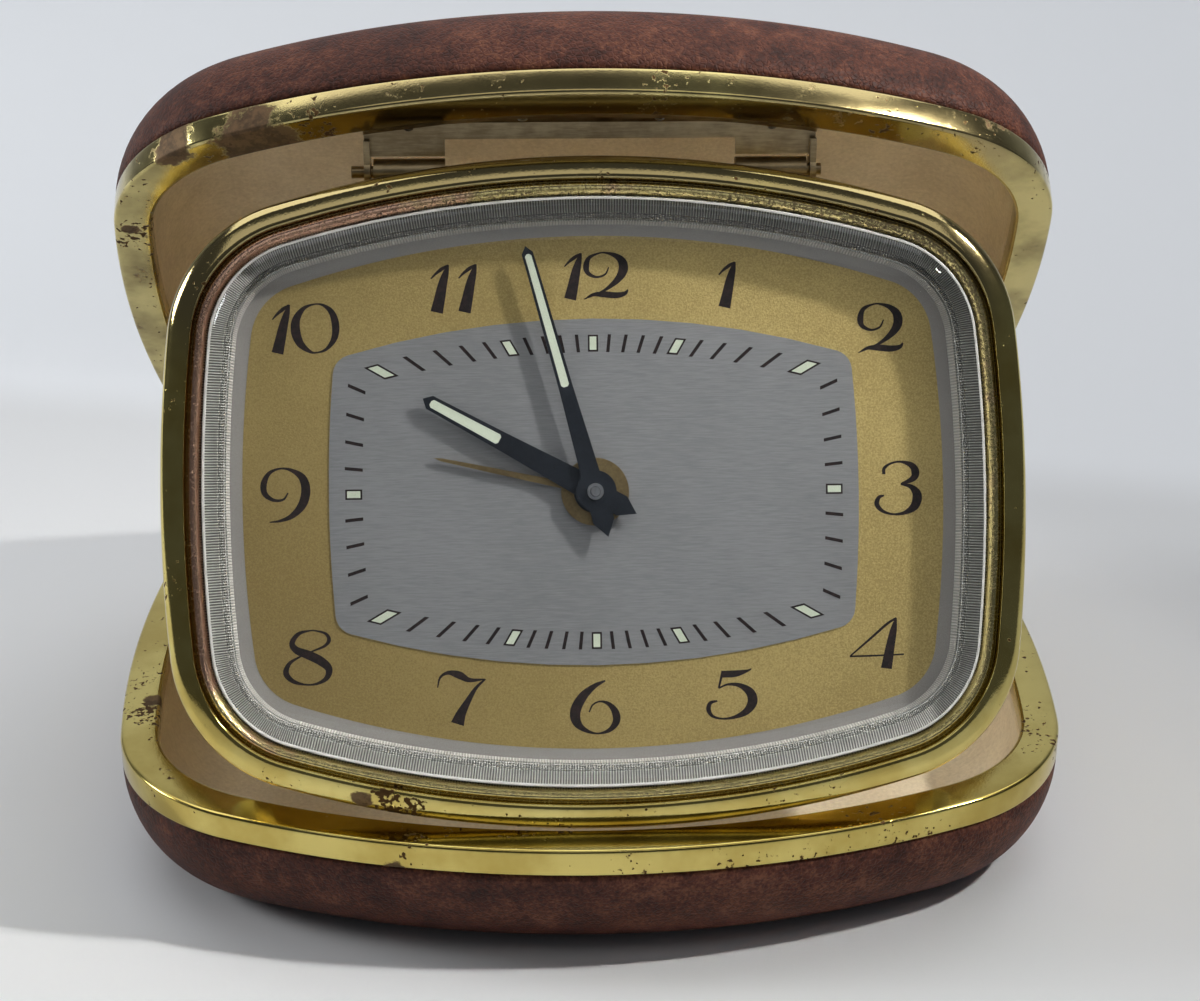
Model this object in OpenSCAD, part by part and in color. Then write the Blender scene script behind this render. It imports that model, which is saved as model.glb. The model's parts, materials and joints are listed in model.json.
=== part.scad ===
// Folding travel alarm clock: a hinged two-shell case with the clock propped in its mouth.
// Millimetres, +Z up, the viewer at -Y, the base resting on Z = 0.

/* [Case] */
// Room in the closed case between the bezel's side and the case's side
case_room_w = 8.1; // [6:0.1:13]
// Room in the closed case between the bezel's top and the case's front
case_room_d = 10.865; // [9.9:0.005:13]
// Height of each half, from its rim plane to its flat outside
half_h = 14; // [13.5:0.1:18]
// Angle that the case stands open at
open_angle = 48; // [46:0.1:50]
// Radius of the case outline's corners
case_corner_r = 20.7; // [18:0.1:23]
// Radius of the bow of the front and rear edges
case_front_bow_r = 91.5; // [85:0.5:110]
// Radius of the bow of the side edges
case_side_bow_r = 166.9; // [150:0.5:220]
// How far the outside draws in from the band to the flat
dome_inset = 9; // [7:0.5:11]
// Thickness of the covering
cover_t = 0.8; // [0.5:0.1:1.2]
// Thickness of the pressed shell
shell_t = 0.7; // [0.5:0.1:1]
// Thickness of the lining
lining_t = 0.5; // [0.3:0.1:0.8]

/* [Rim] */
// Height of the band round the outside
band_h = 2.9; // [2.2:0.1:3.5]
// Width of the flat flange in the mouth
flange_w = 3.94; // [3.5:0.01:5]
// Thickness of the rim's metal
rim_t = 0.8; // [0.5:0.1:1]
// Depth of the lip that the flange turns down inside the mouth
lip_h = 2; // [1.6:0.1:3]

/* [Clock case] */
// Room between the ends of the movement plates and the clock's band
plate_room_w = 7.2; // [6.2:0.1:8.2]
// Room between the movement plates and the band's top or bottom
plate_room_h = 5.835; // [4.9:0.005:6.2]
// Depth of the bezel
bezel_d = 3.5; // [3:0.1:4]
// Angle that the clock leans back by
lean_angle = 24.9; // [24:0.1:26]
// Radius of the bezel outline's corners
bezel_corner_r = 14.4; // [12:0.1:16]
// Radius of the bow of the bezel's top and bottom
bezel_top_bow_r = 107.4; // [95:0.1:120]
// Radius of the bow of the bezel's sides
bezel_side_bow_r = 153.3; // [140:0.1:180]
// Gap between the movement's back plate and the back cover
back_gap = 0.3; // [0.1:0.1:1.3]
// Thickness of the clock's band and back cover
clock_wall_t = 0.8; // [0.5:0.1:1]
// How far the band stands in from the bezel's outline
band_inset = 3; // [2.5:0.1:3.2]

/* [Dial] */
// Depth of the dial's face behind the bezel's face
dial_y = 5; // [4.8:0.1:5.2]
// Thickness of the dial plate
dial_t = 0.4; // [0.3:0.05:0.45]
// Length of the minute hand
minute_hand_l = 25; // [22:0.1:26]
// Length of the hour hand
hour_hand_l = 19.1; // [15:0.1:22]
// Length of the alarm hand
alarm_hand_l = 16.1; // [12:0.1:20]
// Minute hand's angle, clockwise from twelve
minute_rest = -15.2; // [-180:0.1:180]
// Hour hand's angle
hour_rest = -61; // [-180:0.1:180]
// Alarm hand's angle
alarm_rest = -77.6; // [-180:0.1:180]

/* [Movement] */
// Width of the movement plates
plate_w = 62; // [60:0.5:66]
// Height of the movement plates
plate_h = 46; // [44:0.5:49]
// Thickness of the movement plates
plate_t = 0.8; // [0.6:0.1:1]
// Radius of the wheel arbors
arbor_r = 0.5; // [0.4:0.05:0.6]
// Radius of the arbors' end pivots
pivot_r = 0.3; // [0.2:0.02:0.36]
// Running clearance between a pivot and its hole, on the radius
run_gap = 0.05; // [0.03:0.01:0.09]
// Radius of the clock's hinge pin
hinge_pin_r = 0.6; // [0.5:0.05:0.7]

/* [Hidden] */
$fn = 48;
// Extra length that every cut runs past its piece
over = 0.5;
// Gap between parts that move past each other
move_gap = 0.3;
brass = [0.80, 0.68, 0.32];
gilt = [0.72, 0.58, 0.24];
steel = [0.62, 0.63, 0.65];
dark_steel = [0.18, 0.20, 0.24];
hide = [0.36, 0.20, 0.18];

// The clock is made round its movement, and the case round the clock
bezel_w = plate_w + 2 * (plate_room_w + clock_wall_t + band_inset);
bezel_h = plate_h + 2 * (plate_room_h + clock_wall_t + band_inset);
case_w = bezel_w + 2 * case_room_w;
case_d = bezel_h + 2 * case_room_d;

// Closed outline of eight tangent arcs: a bowed rectangle with round corners.
// spec = [half width, half height, top bow radius, side bow radius, corner radius]
arc_steps = 5;
function meet(s) =
    let (d1 = s[2] - s[4], d2 = s[3] - s[4], c1 = [0, s[1] - s[2]], c2 = [s[0] - s[3], 0],
         v = c2 - c1, d = norm(v), a = (d1 * d1 - d2 * d2 + d * d) / (2 * d),
         h = sqrt(d1 * d1 - a * a), u = v / d)
    let (p = c1 + a * u + h * [-u[1], u[0]], q = c1 + a * u - h * [-u[1], u[0]])
    p[0] + p[1] > q[0] + q[1] ? p : q;
function arc(c, r, from, to) =
    [for (i = [0:arc_steps - 1]) let (t = from + (to - from) * i / arc_steps) c + r * [cos(t), sin(t)]];
function quadrant(s, inset) =
    let (k = meet(s), c1 = [0, s[1] - s[2]], c2 = [s[0] - s[3], 0],
         t2 = atan2(k[1] - c2[1], k[0] - c2[0]), t1 = atan2(k[1] - c1[1], k[0] - c1[0]))
    concat(arc(c2, s[3] - inset, 0, t2), arc(k, s[4] - inset, t2, t1), arc(c1, s[2] - inset, t1, 90));
function reversed(l) = [for (i = [len(l) - 1:-1:0]) l[i]];
function outline(s, inset) =
    let (q = quadrant(s, inset), top = [0, s[1] - inset], n = len(q))
    concat(q, [top], [for (i = [n - 1:-1:1]) [-q[i][0], q[i][1]]],
           [for (i = [0:n - 1]) [-q[i][0], -q[i][1]]], [-top],
           [for (i = [n - 1:-1:1]) [q[i][0], -q[i][1]]]);

case_spec = [case_w / 2, case_d / 2, case_front_bow_r, case_side_bow_r, case_corner_r];
bezel_spec = [bezel_w / 2, bezel_h / 2, bezel_top_bow_r, bezel_side_bow_r, bezel_corner_r];

// Solid swept round an outline. rings = [[inset, height], ...]: a closed loop of rings
// makes a ring, and an open list gets a flat cap on its first and last rings.
module swept(spec, rings, closed = true) {
    loops = [for (r = rings) [for (p = outline(spec, r[0])) [p[0], p[1], r[1]]]];
    n = len(loops[0]);
    count = len(rings);
    last = closed ? count : count - 1;
    sides = [for (j = [0:last - 1], i = [0:n - 1])
        let (k = (j + 1) % count, m = (i + 1) % n) [j * n + i, k * n + i, k * n + m, j * n + m]];
    triangles = [for (f = sides) each [[f[0], f[1], f[2]], [f[0], f[2], f[3]]]];
    caps = closed ? [] : [[for (i = [0:n - 1]) i], [for (i = [n - 1:-1:0]) (count - 1) * n + i]];
    polyhedron([for (l = loops) each l], concat(triangles, caps), convexity = 6);
}

// The roll of a case half from its band to its flat, as rings from the wall to the floor
roll_steps = 4;
function roll(inset, reach, from, to) =
    [for (i = [0:roll_steps]) let (t = 90 * i / roll_steps)
        [inset + reach * (1 - cos(t)), -(from + (to - from) * sin(t))]];

shell_in = cover_t + shell_t;
shell_floor = half_h - shell_in;
lining_out = flange_w - lining_t;
lining_roll_reach = dome_inset - cover_t;

// Each shell surface draws in by the same roll, so the layers lie face to face
module layer(inset_in, floor_in, top_in, inset_out, floor_out, top_out, reach) {
    swept(case_spec, concat(
        reversed(roll(inset_in, reach - (inset_in - inset_out), band_h, floor_in)),
        [[inset_in, -top_in], [inset_out, -top_out]],
        roll(inset_out, reach, band_h, floor_out)), closed = false);
}

module case_rim() {
    swept(case_spec, [[rim_t, -band_h], [0, -band_h], [0, -edge_round], [edge_round, 0],
        [flange_w - edge_round, 0], [flange_w, -edge_round], [flange_w, -lip_h],
        [flange_w - lip_t, -lip_h], [flange_w - lip_t, -rim_t], [rim_t, -rim_t]]);
}
edge_round = 0.25;
lip_t = 0.5;

module half_cover() {
    layer(cover_t, half_h - cover_t, band_h, 0, half_h, band_h, dome_inset);
}
module half_shell() {
    layer(shell_in, shell_floor, rim_t, cover_t, half_h - cover_t, rim_t, dome_inset - cover_t);
}
module half_lining() {
    swept(case_spec, concat(
        reversed(roll(flange_w, lining_roll_reach, lip_h, shell_floor - lining_t)),
        [[lining_out, -lip_h]],
        [for (r = roll(lining_out, lining_roll_reach, lip_h, shell_floor)) [r[0], r[1]]]),
        closed = false);
}

// Rear hinge: its barrel stands just behind the rear edges of the rims
hinge_barrel_r = 1.5;
rear_pin_r = 0.7;
hinge_leaf_t = 0.6;
hinge_leaf_h = 2.4;
hinge_l = 24;
knuckles = 5;
knuckle_gap = 0.1;
knuckle_l = hinge_l / knuckles;
axis_y = case_d / 2 + hinge_barrel_r + knuckle_gap;

// Places of the three frames: the base, the lid and the leaning clock
function turned(p, a) = [p[0] * cos(a) + p[1] * sin(a), -p[0] * sin(a) + p[1] * cos(a)];
lid_back = [for (r = roll(0, dome_inset, band_h, half_h))
    turned([case_d / 2 - axis_y - r[0], -r[1]], open_angle)[0]];
shift_y = -(axis_y + max(concat(lid_back, [hinge_barrel_r])) - case_d / 2) / 2;
module base_frame() translate([0, shift_y, half_h]) children();
module lid_frame() base_frame() translate([0, axis_y, 0]) rotate([-open_angle, 0, 0])
    translate([0, -axis_y, 0]) children();

// The bezel's lower front edge stands just over the inner edge of the base's flange
seat_over = 1;
seat_gap = 0.45;
foot_y = -case_d / 2 + flange_w - seat_over;
clock_at = [foot_y, seat_gap] - turned([0, -bezel_h / 2], lean_angle);
module clock_frame() base_frame() translate([0, clock_at[0], clock_at[1]])
    rotate([-lean_angle, 0, 0]) children();

// The clock's pieces are drawn as seen from the front and run back along Y
module slab(y, t) translate([0, y + t, 0]) rotate([90, 0, 0]) linear_extrude(t) children();
module spun(at, y) translate([at[0], y, at[1]]) rotate([-90, 0, 0]) children();
module rod(at, y0, y1, r) spun(at, y0) cylinder(h = y1 - y0, r = r);
module tube(at, y0, y1, r, bore) spun(at, y0) difference() {
    cylinder(h = y1 - y0, r = r);
    translate([0, 0, -over]) cylinder(h = y1 - y0 + 2 * over, r = bore);
}
module clock_swept(rings, closed = true) rotate([90, 0, 0])
    swept(bezel_spec, [for (r = rings) [r[0], -r[1]]], closed);
module shape(inset) polygon(outline(bezel_spec, inset));

module hinge_leaf(first) {
    for (i = [first:2:knuckles - 1]) translate([-hinge_l / 2 + i * knuckle_l + knuckle_gap / 2, 0, 0])
        difference() {
            union() {
                translate([0, axis_y, 0]) rotate([0, 90, 0])
                    cylinder(h = knuckle_l - knuckle_gap, r = hinge_barrel_r);
                translate([0, case_d / 2 - 2 * hinge_leaf_t, -hinge_leaf_h])
                    cube([knuckle_l - knuckle_gap, 3 * hinge_leaf_t, hinge_leaf_h - knuckle_gap]);
            }
            translate([-over, axis_y, 0]) rotate([0, 90, 0])
                cylinder(h = knuckle_l + 2 * over, r = rear_pin_r + run_gap);
            translate([hinge_l / 2 - i * knuckle_l, 0, -half_h])
                linear_extrude(2 * half_h) polygon(outline(case_spec, -fit_gap));
        }
}

module base_shell() color(steel) base_frame() half_shell();
module base_cover() color(hide) base_frame() half_cover();
module base_rim() color(brass) base_frame() case_rim();
module base_lining() color([0.55, 0.44, 0.30]) base_frame() half_lining();
module lid_shell() color(steel) lid_frame() mirror([0, 0, 1]) half_shell();
module lid_cover() color(hide) lid_frame() mirror([0, 0, 1]) half_cover();
module lid_rim() color(brass) lid_frame() mirror([0, 0, 1]) case_rim();
module lid_lining() color([0.55, 0.44, 0.30]) lid_frame() mirror([0, 0, 1]) half_lining();
module rear_hinge_base_leaf() color(gilt) base_frame() hinge_leaf(0);
module rear_hinge_lid_leaf() color(gilt) lid_frame() mirror([0, 0, 1]) hinge_leaf(1);
module rear_hinge_pin() color(steel) base_frame() translate([-hinge_l / 2, axis_y, 0])
    rotate([0, 90, 0]) cylinder(h = hinge_l, r = rear_pin_r);

// Clock hinge: a bracket on the lid's lip holds the pin behind the top of the bezel
pin_y = 5.5;
pin_drop = 0.9;
pin_z = bezel_h / 2 - pin_drop;
pin_past = 1.3;
bracket_half = 22.2;
bracket_t = 0.6;
ear_l = 7.9;
lug_r = 1.3;
lug_l = ear_l - bracket_t - move_gap;
rivet_r = 0.4;
rivet_head_r = 0.55;
rivet_head_t = 0.4;
rivet_seat = 0.15;
rivet_shares = [-0.8, -0.3, 0.3, 0.8];
cheek_from = 0.35;
pin_base = clock_at + turned([pin_y, pin_z], lean_angle);
pin_lid = [axis_y, 0] + turned(pin_base - [axis_y, 0], -open_angle);
lip_bow_r = case_front_bow_r - flange_w;
function lip_y(x) = -case_d / 2 + flange_w + lip_bow_r - sqrt(lip_bow_r * lip_bow_r - x * x);
leaf_top = lip_h;
leaf_low = rim_t / 4;
bend_y = lip_y(bracket_half) + bracket_t;
bend_z = leaf_top - bracket_t / 2;
ramp = pin_lid - [bend_y, bend_z];
ramp_l = norm(ramp);
ramp_a = atan2(ramp[1], ramp[0]);
rivet_z = leaf_low + rivet_head_r;
module ramp_frame() translate([0, bend_y, bend_z]) rotate([ramp_a, 0, 0]) children();
module front_strip(deep) translate([-bracket_half, -case_d / 2]) square([2 * bracket_half, deep]);
module clock_bracket() color(dark_steel) lid_frame() {
    difference() {
        translate([0, 0, leaf_low]) linear_extrude(leaf_top - leaf_low) intersection() {
            difference() {
                polygon(outline(case_spec, flange_w));
                polygon(outline(case_spec, flange_w + bracket_t));
            }
            front_strip(case_d / 4);
        }
        for (share = rivet_shares) translate([share * bracket_half, lip_y(share * bracket_half) - over,
            rivet_z]) rotate([-90, 0, 0]) cylinder(h = bracket_t + 2 * over, r = rivet_r);
    }
    translate([0, 0, leaf_top - bracket_t]) linear_extrude(bracket_t) intersection() {
        polygon(outline(case_spec, flange_w));
        front_strip(bend_y + case_d / 2 + bracket_t / 2);
    }
    difference() {
        ramp_frame() translate([-bracket_half, -bracket_t / 2, -bracket_t / 2])
            cube([2 * bracket_half, ramp_l - lug_r - move_gap + bracket_t / 2, bracket_t]);
        ramp_frame() translate([-bracket_half + ear_l, cheek_from * ramp_l, -bracket_t])
            cube([2 * (bracket_half - ear_l), ramp_l, 2 * bracket_t]);
    }
    for (side = [-1, 1]) translate([side > 0 ? bracket_half - bracket_t : -bracket_half, 0, 0])
        difference() {
            union() {
                translate([0, pin_lid[0], pin_lid[1]]) rotate([0, 90, 0])
                    cylinder(h = bracket_t, r = lug_r + bracket_t / 2);
                ramp_frame() translate([0, cheek_from * ramp_l, -lug_r])
                    cube([bracket_t, (1 - cheek_from) * ramp_l, lug_r + bracket_t / 2]);
            }
            translate([-over, pin_lid[0], pin_lid[1]]) rotate([0, 90, 0])
                cylinder(h = bracket_t + 2 * over, r = hinge_pin_r + run_gap / 2);
        }
}
module bracket_rivets() color(steel) lid_frame() for (share = rivet_shares)
    translate([share * bracket_half, lip_y(share * bracket_half) + rivet_seat, rivet_z])
        rotate([-90, 0, 0]) {
            cylinder(h = bracket_t, r = rivet_r - run_gap);
            translate([0, 0, bracket_t]) cylinder(h = rivet_head_t, r = rivet_head_r);
        }
module clock_hinge_pin() color(dark_steel) clock_frame()
    translate([-bracket_half - pin_past, pin_y, pin_z]) rotate([0, 90, 0])
        cylinder(h = 2 * bracket_half + pin_past + bracket_t, r = hinge_pin_r);

// Bezel, crystal and dial
groove_in = 2.3;
ring_in = 2.7;
glass_in = 3.95;
bezel_round = 0.8;
glass_flange_t = 1.2;
glass_rise = 1;
glass_t = 1.5;
glass_wall = 1.65;
glass_cap = 9;
dial_in = band_inset + clock_wall_t + run_gap;
rehaut_w = 2;
module bezel() color(brass) clock_frame() clock_swept([[0, bezel_d], [0, bezel_round],
    [bezel_round * 0.3, bezel_round * 0.3], [bezel_round, 0], [groove_in - bezel_round * 0.4, 0],
    [groove_in, bezel_round * 0.45], [ring_in, bezel_round * 0.45], [ring_in, bezel_d]]);
module bezel_inner_ring() color([0.62, 0.40, 0.28]) clock_frame() clock_swept([
    [ring_in, bezel_d], [ring_in, bezel_round * 0.7], [ring_in + bezel_round * 0.4, bezel_round * 0.35],
    [glass_in - bezel_round * 0.3, bezel_round * 0.5], [glass_in, bezel_round], [glass_in, bezel_d]]);
module crystal() color([0.8, 0.85, 0.88, 0.35]) clock_frame() clock_swept([
    [glass_cap, glass_t - glass_rise], [glass_in + 1.9 * glass_wall, glass_t - 0.8 * glass_rise],
    [glass_in + 1.25 * glass_wall, glass_t], [glass_in + glass_wall, bezel_d],
    [glass_in, bezel_d], [glass_in, bezel_d - glass_flange_t],
    [glass_in + 0.2 * glass_wall, 0.6 * glass_rise], [glass_in + 0.65 * glass_wall, -0.3 * glass_rise],
    [glass_in + 1.55 * glass_wall, -0.8 * glass_rise], [glass_cap, -glass_rise]], closed = false);
module rehaut_ring() color([0.72, 0.72, 0.72]) clock_frame() clock_swept([
    [dial_in, bezel_d], [dial_in, dial_y], [dial_in + rehaut_w, dial_y],
    [dial_in + 0.8 * rehaut_w, dial_y - 0.4 * (dial_y - bezel_d)], [dial_in + 0.45 * rehaut_w, bezel_d]]);
panel_w = 52;
panel_h = 34;
panel_t = 0.15;
panel_top_bow_r = 87;
panel_side_bow_r = 135;
panel_corner_r = 2;
pipe_hole_r = 1.7;
panel_spec = [panel_w / 2, panel_h / 2, panel_top_bow_r, panel_side_bow_r, panel_corner_r];
post_r = 1.3;
post_places = [for (x = [-1, 1], z = [-1, 1]) [x * 0.45 * plate_w, z * 0.435 * plate_h]];
module dial_plate() color(gilt) clock_frame() slab(dial_y, dial_t) difference() {
    shape(dial_in);
    circle(pipe_hole_r);
}
module dial_centre_panel() color([0.68, 0.69, 0.68]) clock_frame() slab(dial_y - panel_t, panel_t)
    difference() {
        polygon(outline(panel_spec, 0));
        circle(pipe_hole_r);
    }
module dial_feet() color(brass) clock_frame() for (p = post_places) rod(p, dial_back, plate_y, post_r);

// Depths along Y, from the dial's back through the motion work and the train to the back cover
end_shake = 0.1;
thin_t = 0.3;
wheel_t = 0.5;
under_dial_gap = 0.2;
dial_back = dial_y + dial_t;
alarm_wheel_y = dial_back + under_dial_gap;
hour_wheel_y = alarm_wheel_y + thin_t + under_dial_gap;
minute_wheel_y = hour_wheel_y + thin_t + move_gap;
plate_y = minute_wheel_y + thin_t + move_gap;
between = plate_y + plate_t;
low_y = between + move_gap + end_shake;
mid_y = low_y + 2 * wheel_t + end_shake;
high_y = mid_y + 2 * wheel_t + move_gap;
back_plate_y = high_y + 2 * (wheel_t + end_shake);
back_y = back_plate_y + plate_t + back_gap;
clock_d = back_y + clock_wall_t;

// Hands: each is a collet on its pipe with a blade that widens and narrows again
hand_t = 0.2;
alarm_lift = 0.7;
hour_lift = 1.15;
minute_lift = 1.65;
tip_lift = 2.1;
alarm_hand_y = dial_y - alarm_lift;
hour_hand_y = dial_y - hour_lift;
minute_hand_y = dial_y - minute_lift;
centre_tip_y = dial_y - tip_lift;
// Widths of each hand at its collet, where its lume starts and at its tip
minute_root_w = 2;
minute_mid_w = 1.4;
minute_tip_w = 1.13;
hour_root_w = 2.5;
hour_mid_w = 1.8;
hour_tip_w = 1.43;
alarm_root_w = 0.8;
alarm_mid_w = 0.5;
alarm_tip_w = 0.3;
minute_widths = [minute_root_w, minute_mid_w, minute_tip_w];
hour_widths = [hour_root_w, hour_mid_w, hour_tip_w];
alarm_widths = [alarm_root_w, alarm_mid_w, alarm_tip_w];
tail_l = 4.6;
tail_w = 2.1;
tail_point_l = 1.6;
hand_point_l = 0.75;
lume_from_l = 10.6;
lume_margin_l = 0.85;
lume_share = 0.57;
lume_chamfer_w = 0.2;
hand_hub_r = 1.9;
cannon_r = 0.8;
hour_pipe_r = 1.15;
alarm_pipe_r = 1.5;
fit_gap = 0.02;
function mirrored(l) = concat(l, [for (i = [len(l) - 1:-1:0]) if (l[i][1] != 0) [l[i][0], -l[i][1]]]);
function blade(l, w, tail) = mirrored(concat(
    tail > 0 ? [[-tail, 0], [tail_point_l - tail, -tail_w / 2], [0, -tail_w / 2]] : [],
    [[0, -w[0] / 2], [lume_from_l, -w[1] / 2], [l - hand_point_l, -w[2] / 2], [l, 0]]));
function lume(l, w) =
    let (from_h = lume_share * w[1] / 2, to_h = lume_share * w[2] / 2, to = l - lume_margin_l)
    mirrored([[lume_from_l, lume_chamfer_w - from_h], [lume_from_l + lume_chamfer_w, -from_h],
        [to - lume_chamfer_w, -to_h], [to, lume_chamfer_w - to_h]]);
module hand(l, w, y, bore, rest, hub, tail) slab(y, hand_t) rotate(90 - rest) difference() {
    union() {
        polygon(blade(l, w, tail));
        circle(hub);
    }
    circle(bore);
    if (tail > 0) polygon(lume(l, w));
}
module lume_insert(l, w, y, rest) slab(y, hand_t) rotate(90 - rest) polygon(lume(l, w));
module minute_hand() color(dark_steel) clock_frame() hand(minute_hand_l, minute_widths,
    minute_hand_y, cannon_r + fit_gap, minute_rest, hand_hub_r, tail_l);
module minute_hand_lume() color([0.78, 0.78, 0.62]) clock_frame()
    lume_insert(minute_hand_l, minute_widths, minute_hand_y, minute_rest);
module hour_hand() color(dark_steel) clock_frame() hand(hour_hand_l, hour_widths,
    hour_hand_y, hour_pipe_r + fit_gap, hour_rest, 1.1 * hand_hub_r, tail_l);
module hour_hand_lume() color([0.78, 0.78, 0.62]) clock_frame()
    lume_insert(hour_hand_l, hour_widths, hour_hand_y, hour_rest);
module alarm_hand() color(gilt) clock_frame() hand(alarm_hand_l, alarm_widths,
    alarm_hand_y, alarm_pipe_r + fit_gap, alarm_rest, 1.75 * hand_hub_r, 0);

// Case of the clock
screw_r = 0.6;
screw_head_r = 1.4;
screw_head_t = 0.5;
boss_r = 1.8;
boss_in_w = 1.3;
boss_dir = 45;
boss_at = meet(bezel_spec) + polar(bezel_corner_r - band_inset - clock_wall_t - boss_in_w, boss_dir);
boss_places = [for (x = [-1, 1], z = [-1, 1]) [x * boss_at[0], z * boss_at[1]]];
module clock_band() color(brass) clock_frame() {
    slab(bezel_d, back_y - bezel_d) difference() {
        shape(band_inset);
        shape(band_inset + clock_wall_t);
    }
    slab(dial_back, clock_wall_t) difference() {
        shape(band_inset + clock_wall_t / 2);
        shape(band_inset + 2.5 * clock_wall_t);
    }
    slab(plate_y, back_y - plate_y) difference() {
        for (p = boss_places) translate(p) circle(boss_r);
        for (p = boss_places) translate(p) circle(screw_r);
    }
}
module hinge_lugs() color(steel) clock_frame() difference() {
    for (x = [-bracket_half + bracket_t + move_gap, bracket_half - ear_l]) translate([x, 0, 0]) {
        translate([0, pin_y, pin_z]) rotate([0, 90, 0]) cylinder(h = lug_l, r = lug_r);
        translate([0, pin_y - lug_r / 2, pin_z - 4.5 * lug_r]) cube([lug_l, lug_r, 4.5 * lug_r]);
    }
    translate([-bracket_half, pin_y, pin_z]) rotate([0, 90, 0])
        cylinder(h = 2 * bracket_half, r = hinge_pin_r + run_gap);
    slab(0, clock_d) shape(band_inset);
}

// Movement: toothed wheels and their places, seen from the front
tooth_shares = [[0, -0.27], [1, -0.1], [1, 0.1], [0, 0.27]];
root_share = 1.15;
tip_share = 0.75;
function pitch_r(n, m) = n * m / 2;
function polar(r, a) = r * [cos(a), sin(a)];
function part_of(v) = v - floor(v);
// Turn of a wheel of nb teeth that meshes with one of na teeth turned by phase
function mesh(phase, na, toward, nb) =
    toward + 180 + (part_of((toward - phase) * na / 360) + 0.5) * 360 / nb;
module gear(n, m, phase) rotate(phase) polygon([for (i = [0:n - 1]) for (k = tooth_shares)
    polar(pitch_r(n, m) + (k[0] > 0 ? tip_share : -root_share) * m, (i + k[1]) * 360 / n)]);
window_share = 0.22;
module wheel(at, y, t, n, m, phase, hub) slab(y, t) translate(at) difference() {
    gear(n, m, phase);
    circle(hub);
    for (a = [0:72:288]) rotate(a) translate([0.6 * pitch_r(n, m), 0]) circle(window_share * pitch_r(n, m));
}
module pinion(at, y0, y1, n, m, phase) slab(y0, y1 - y0) translate(at) difference() {
    gear(n, m, phase);
    circle(arbor_r - fit_gap);
}
module arbor(at) {
    rod(at, between + end_shake, back_plate_y - end_shake, arbor_r);
    rod(at, plate_y + end_shake, back_plate_y + plate_t - end_shake, pivot_r);
}

great_teeth = 60;
centre_pinion_teeth = 10;
great_m = 0.3;
centre_teeth = 60;
third_pinion_teeth = 8;
centre_m = 0.25;
third_teeth = 56;
fourth_pinion_teeth = 7;
third_m = 0.22;
fourth_teeth = 54;
escape_pinion_teeth = 6;
fourth_m = 0.2;
cannon_teeth = 12;
minute_teeth = 36;
motion_m = 0.25;
minute_pinion_teeth = 10;
hour_teeth = 40;
hour_m = motion_m * (cannon_teeth + minute_teeth) / (minute_pinion_teeth + hour_teeth);
alarm_teeth = 60;
alarm_pinion_teeth = 12;
alarm_m = 0.3;
alarm_great_teeth = 48;
strike_pinion_teeth = 8;

great_dir = 200;
third_dir = 60;
fourth_dir = 20;
escape_dir = -50;
pallet_dir = -85;
balance_dir = -80;
minute_dir = -30;
set_dir = -60;
alarm_set_dir = 110;
strike_dir = 10;
hammer_dir = 50;
centre = [0, 0];
great_at = polar(pitch_r(great_teeth + centre_pinion_teeth, great_m), great_dir);
third_at = polar(pitch_r(centre_teeth + third_pinion_teeth, centre_m), third_dir);
fourth_at = third_at + polar(pitch_r(third_teeth + fourth_pinion_teeth, third_m), fourth_dir);
escape_at = fourth_at + polar(pitch_r(fourth_teeth + escape_pinion_teeth, fourth_m), escape_dir);
escape_tip_r = 3.2;
pallet_reach = 4.2;
pallet_at = escape_at + polar(pallet_reach, pallet_dir);
fork_reach = 7.2;
balance_at = pallet_at + polar(fork_reach, balance_dir);
minute_at = polar(pitch_r(cannon_teeth + minute_teeth, motion_m), minute_dir);
time_set_at = minute_at + polar(pitch_r(minute_teeth + cannon_teeth, motion_m), set_dir);
alarm_set_at = polar(pitch_r(alarm_teeth + alarm_pinion_teeth, alarm_m), alarm_set_dir);
alarm_great_at = [-0.34 * plate_w, 0.26 * plate_h];
strike_at = alarm_great_at + polar(pitch_r(alarm_great_teeth + strike_pinion_teeth, great_m), strike_dir);
strike_r = 3.8;
hammer_gap = 1.4;
hammer_at = strike_at + polar(strike_r + hammer_gap, hammer_dir);
button_at = [0.33 * plate_w, 0.35 * plate_h];
gong_at = [0.13 * plate_w, 0.42 * plate_h];

leaf_past = 0.25;
minute_phase = mesh(0, cannon_teeth, minute_dir, minute_teeth);
module centre_arbor() color(steel) clock_frame() {
    rod(centre, centre_tip_y, back_plate_y + plate_t - end_shake, arbor_r - run_gap);
    pinion(centre, high_y - leaf_past, high_y + wheel_t + leaf_past, centre_pinion_teeth, great_m, 0);
    tube(centre, low_y - leaf_past, high_y + wheel_t + leaf_past, cannon_r, arbor_r - run_gap);
}
module centre_wheel() color(brass) clock_frame()
    wheel(centre, low_y, wheel_t, centre_teeth, centre_m, 0, cannon_r + fit_gap);
module third_wheel() color(brass) clock_frame() {
    arbor(third_at);
    pinion(third_at, low_y - leaf_past, low_y + wheel_t + leaf_past, third_pinion_teeth, centre_m,
        mesh(0, centre_teeth, third_dir, third_pinion_teeth));
    wheel(third_at, mid_y, wheel_t, third_teeth, third_m, 0, arbor_r - fit_gap);
}
module fourth_wheel() color(brass) clock_frame() {
    arbor(fourth_at);
    pinion(fourth_at, mid_y - leaf_past, mid_y + wheel_t + leaf_past, fourth_pinion_teeth, third_m,
        mesh(0, third_teeth, fourth_dir, fourth_pinion_teeth));
    wheel(fourth_at, low_y, wheel_t, fourth_teeth, fourth_m, 0, arbor_r - fit_gap);
}
escape_teeth = 15;
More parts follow.
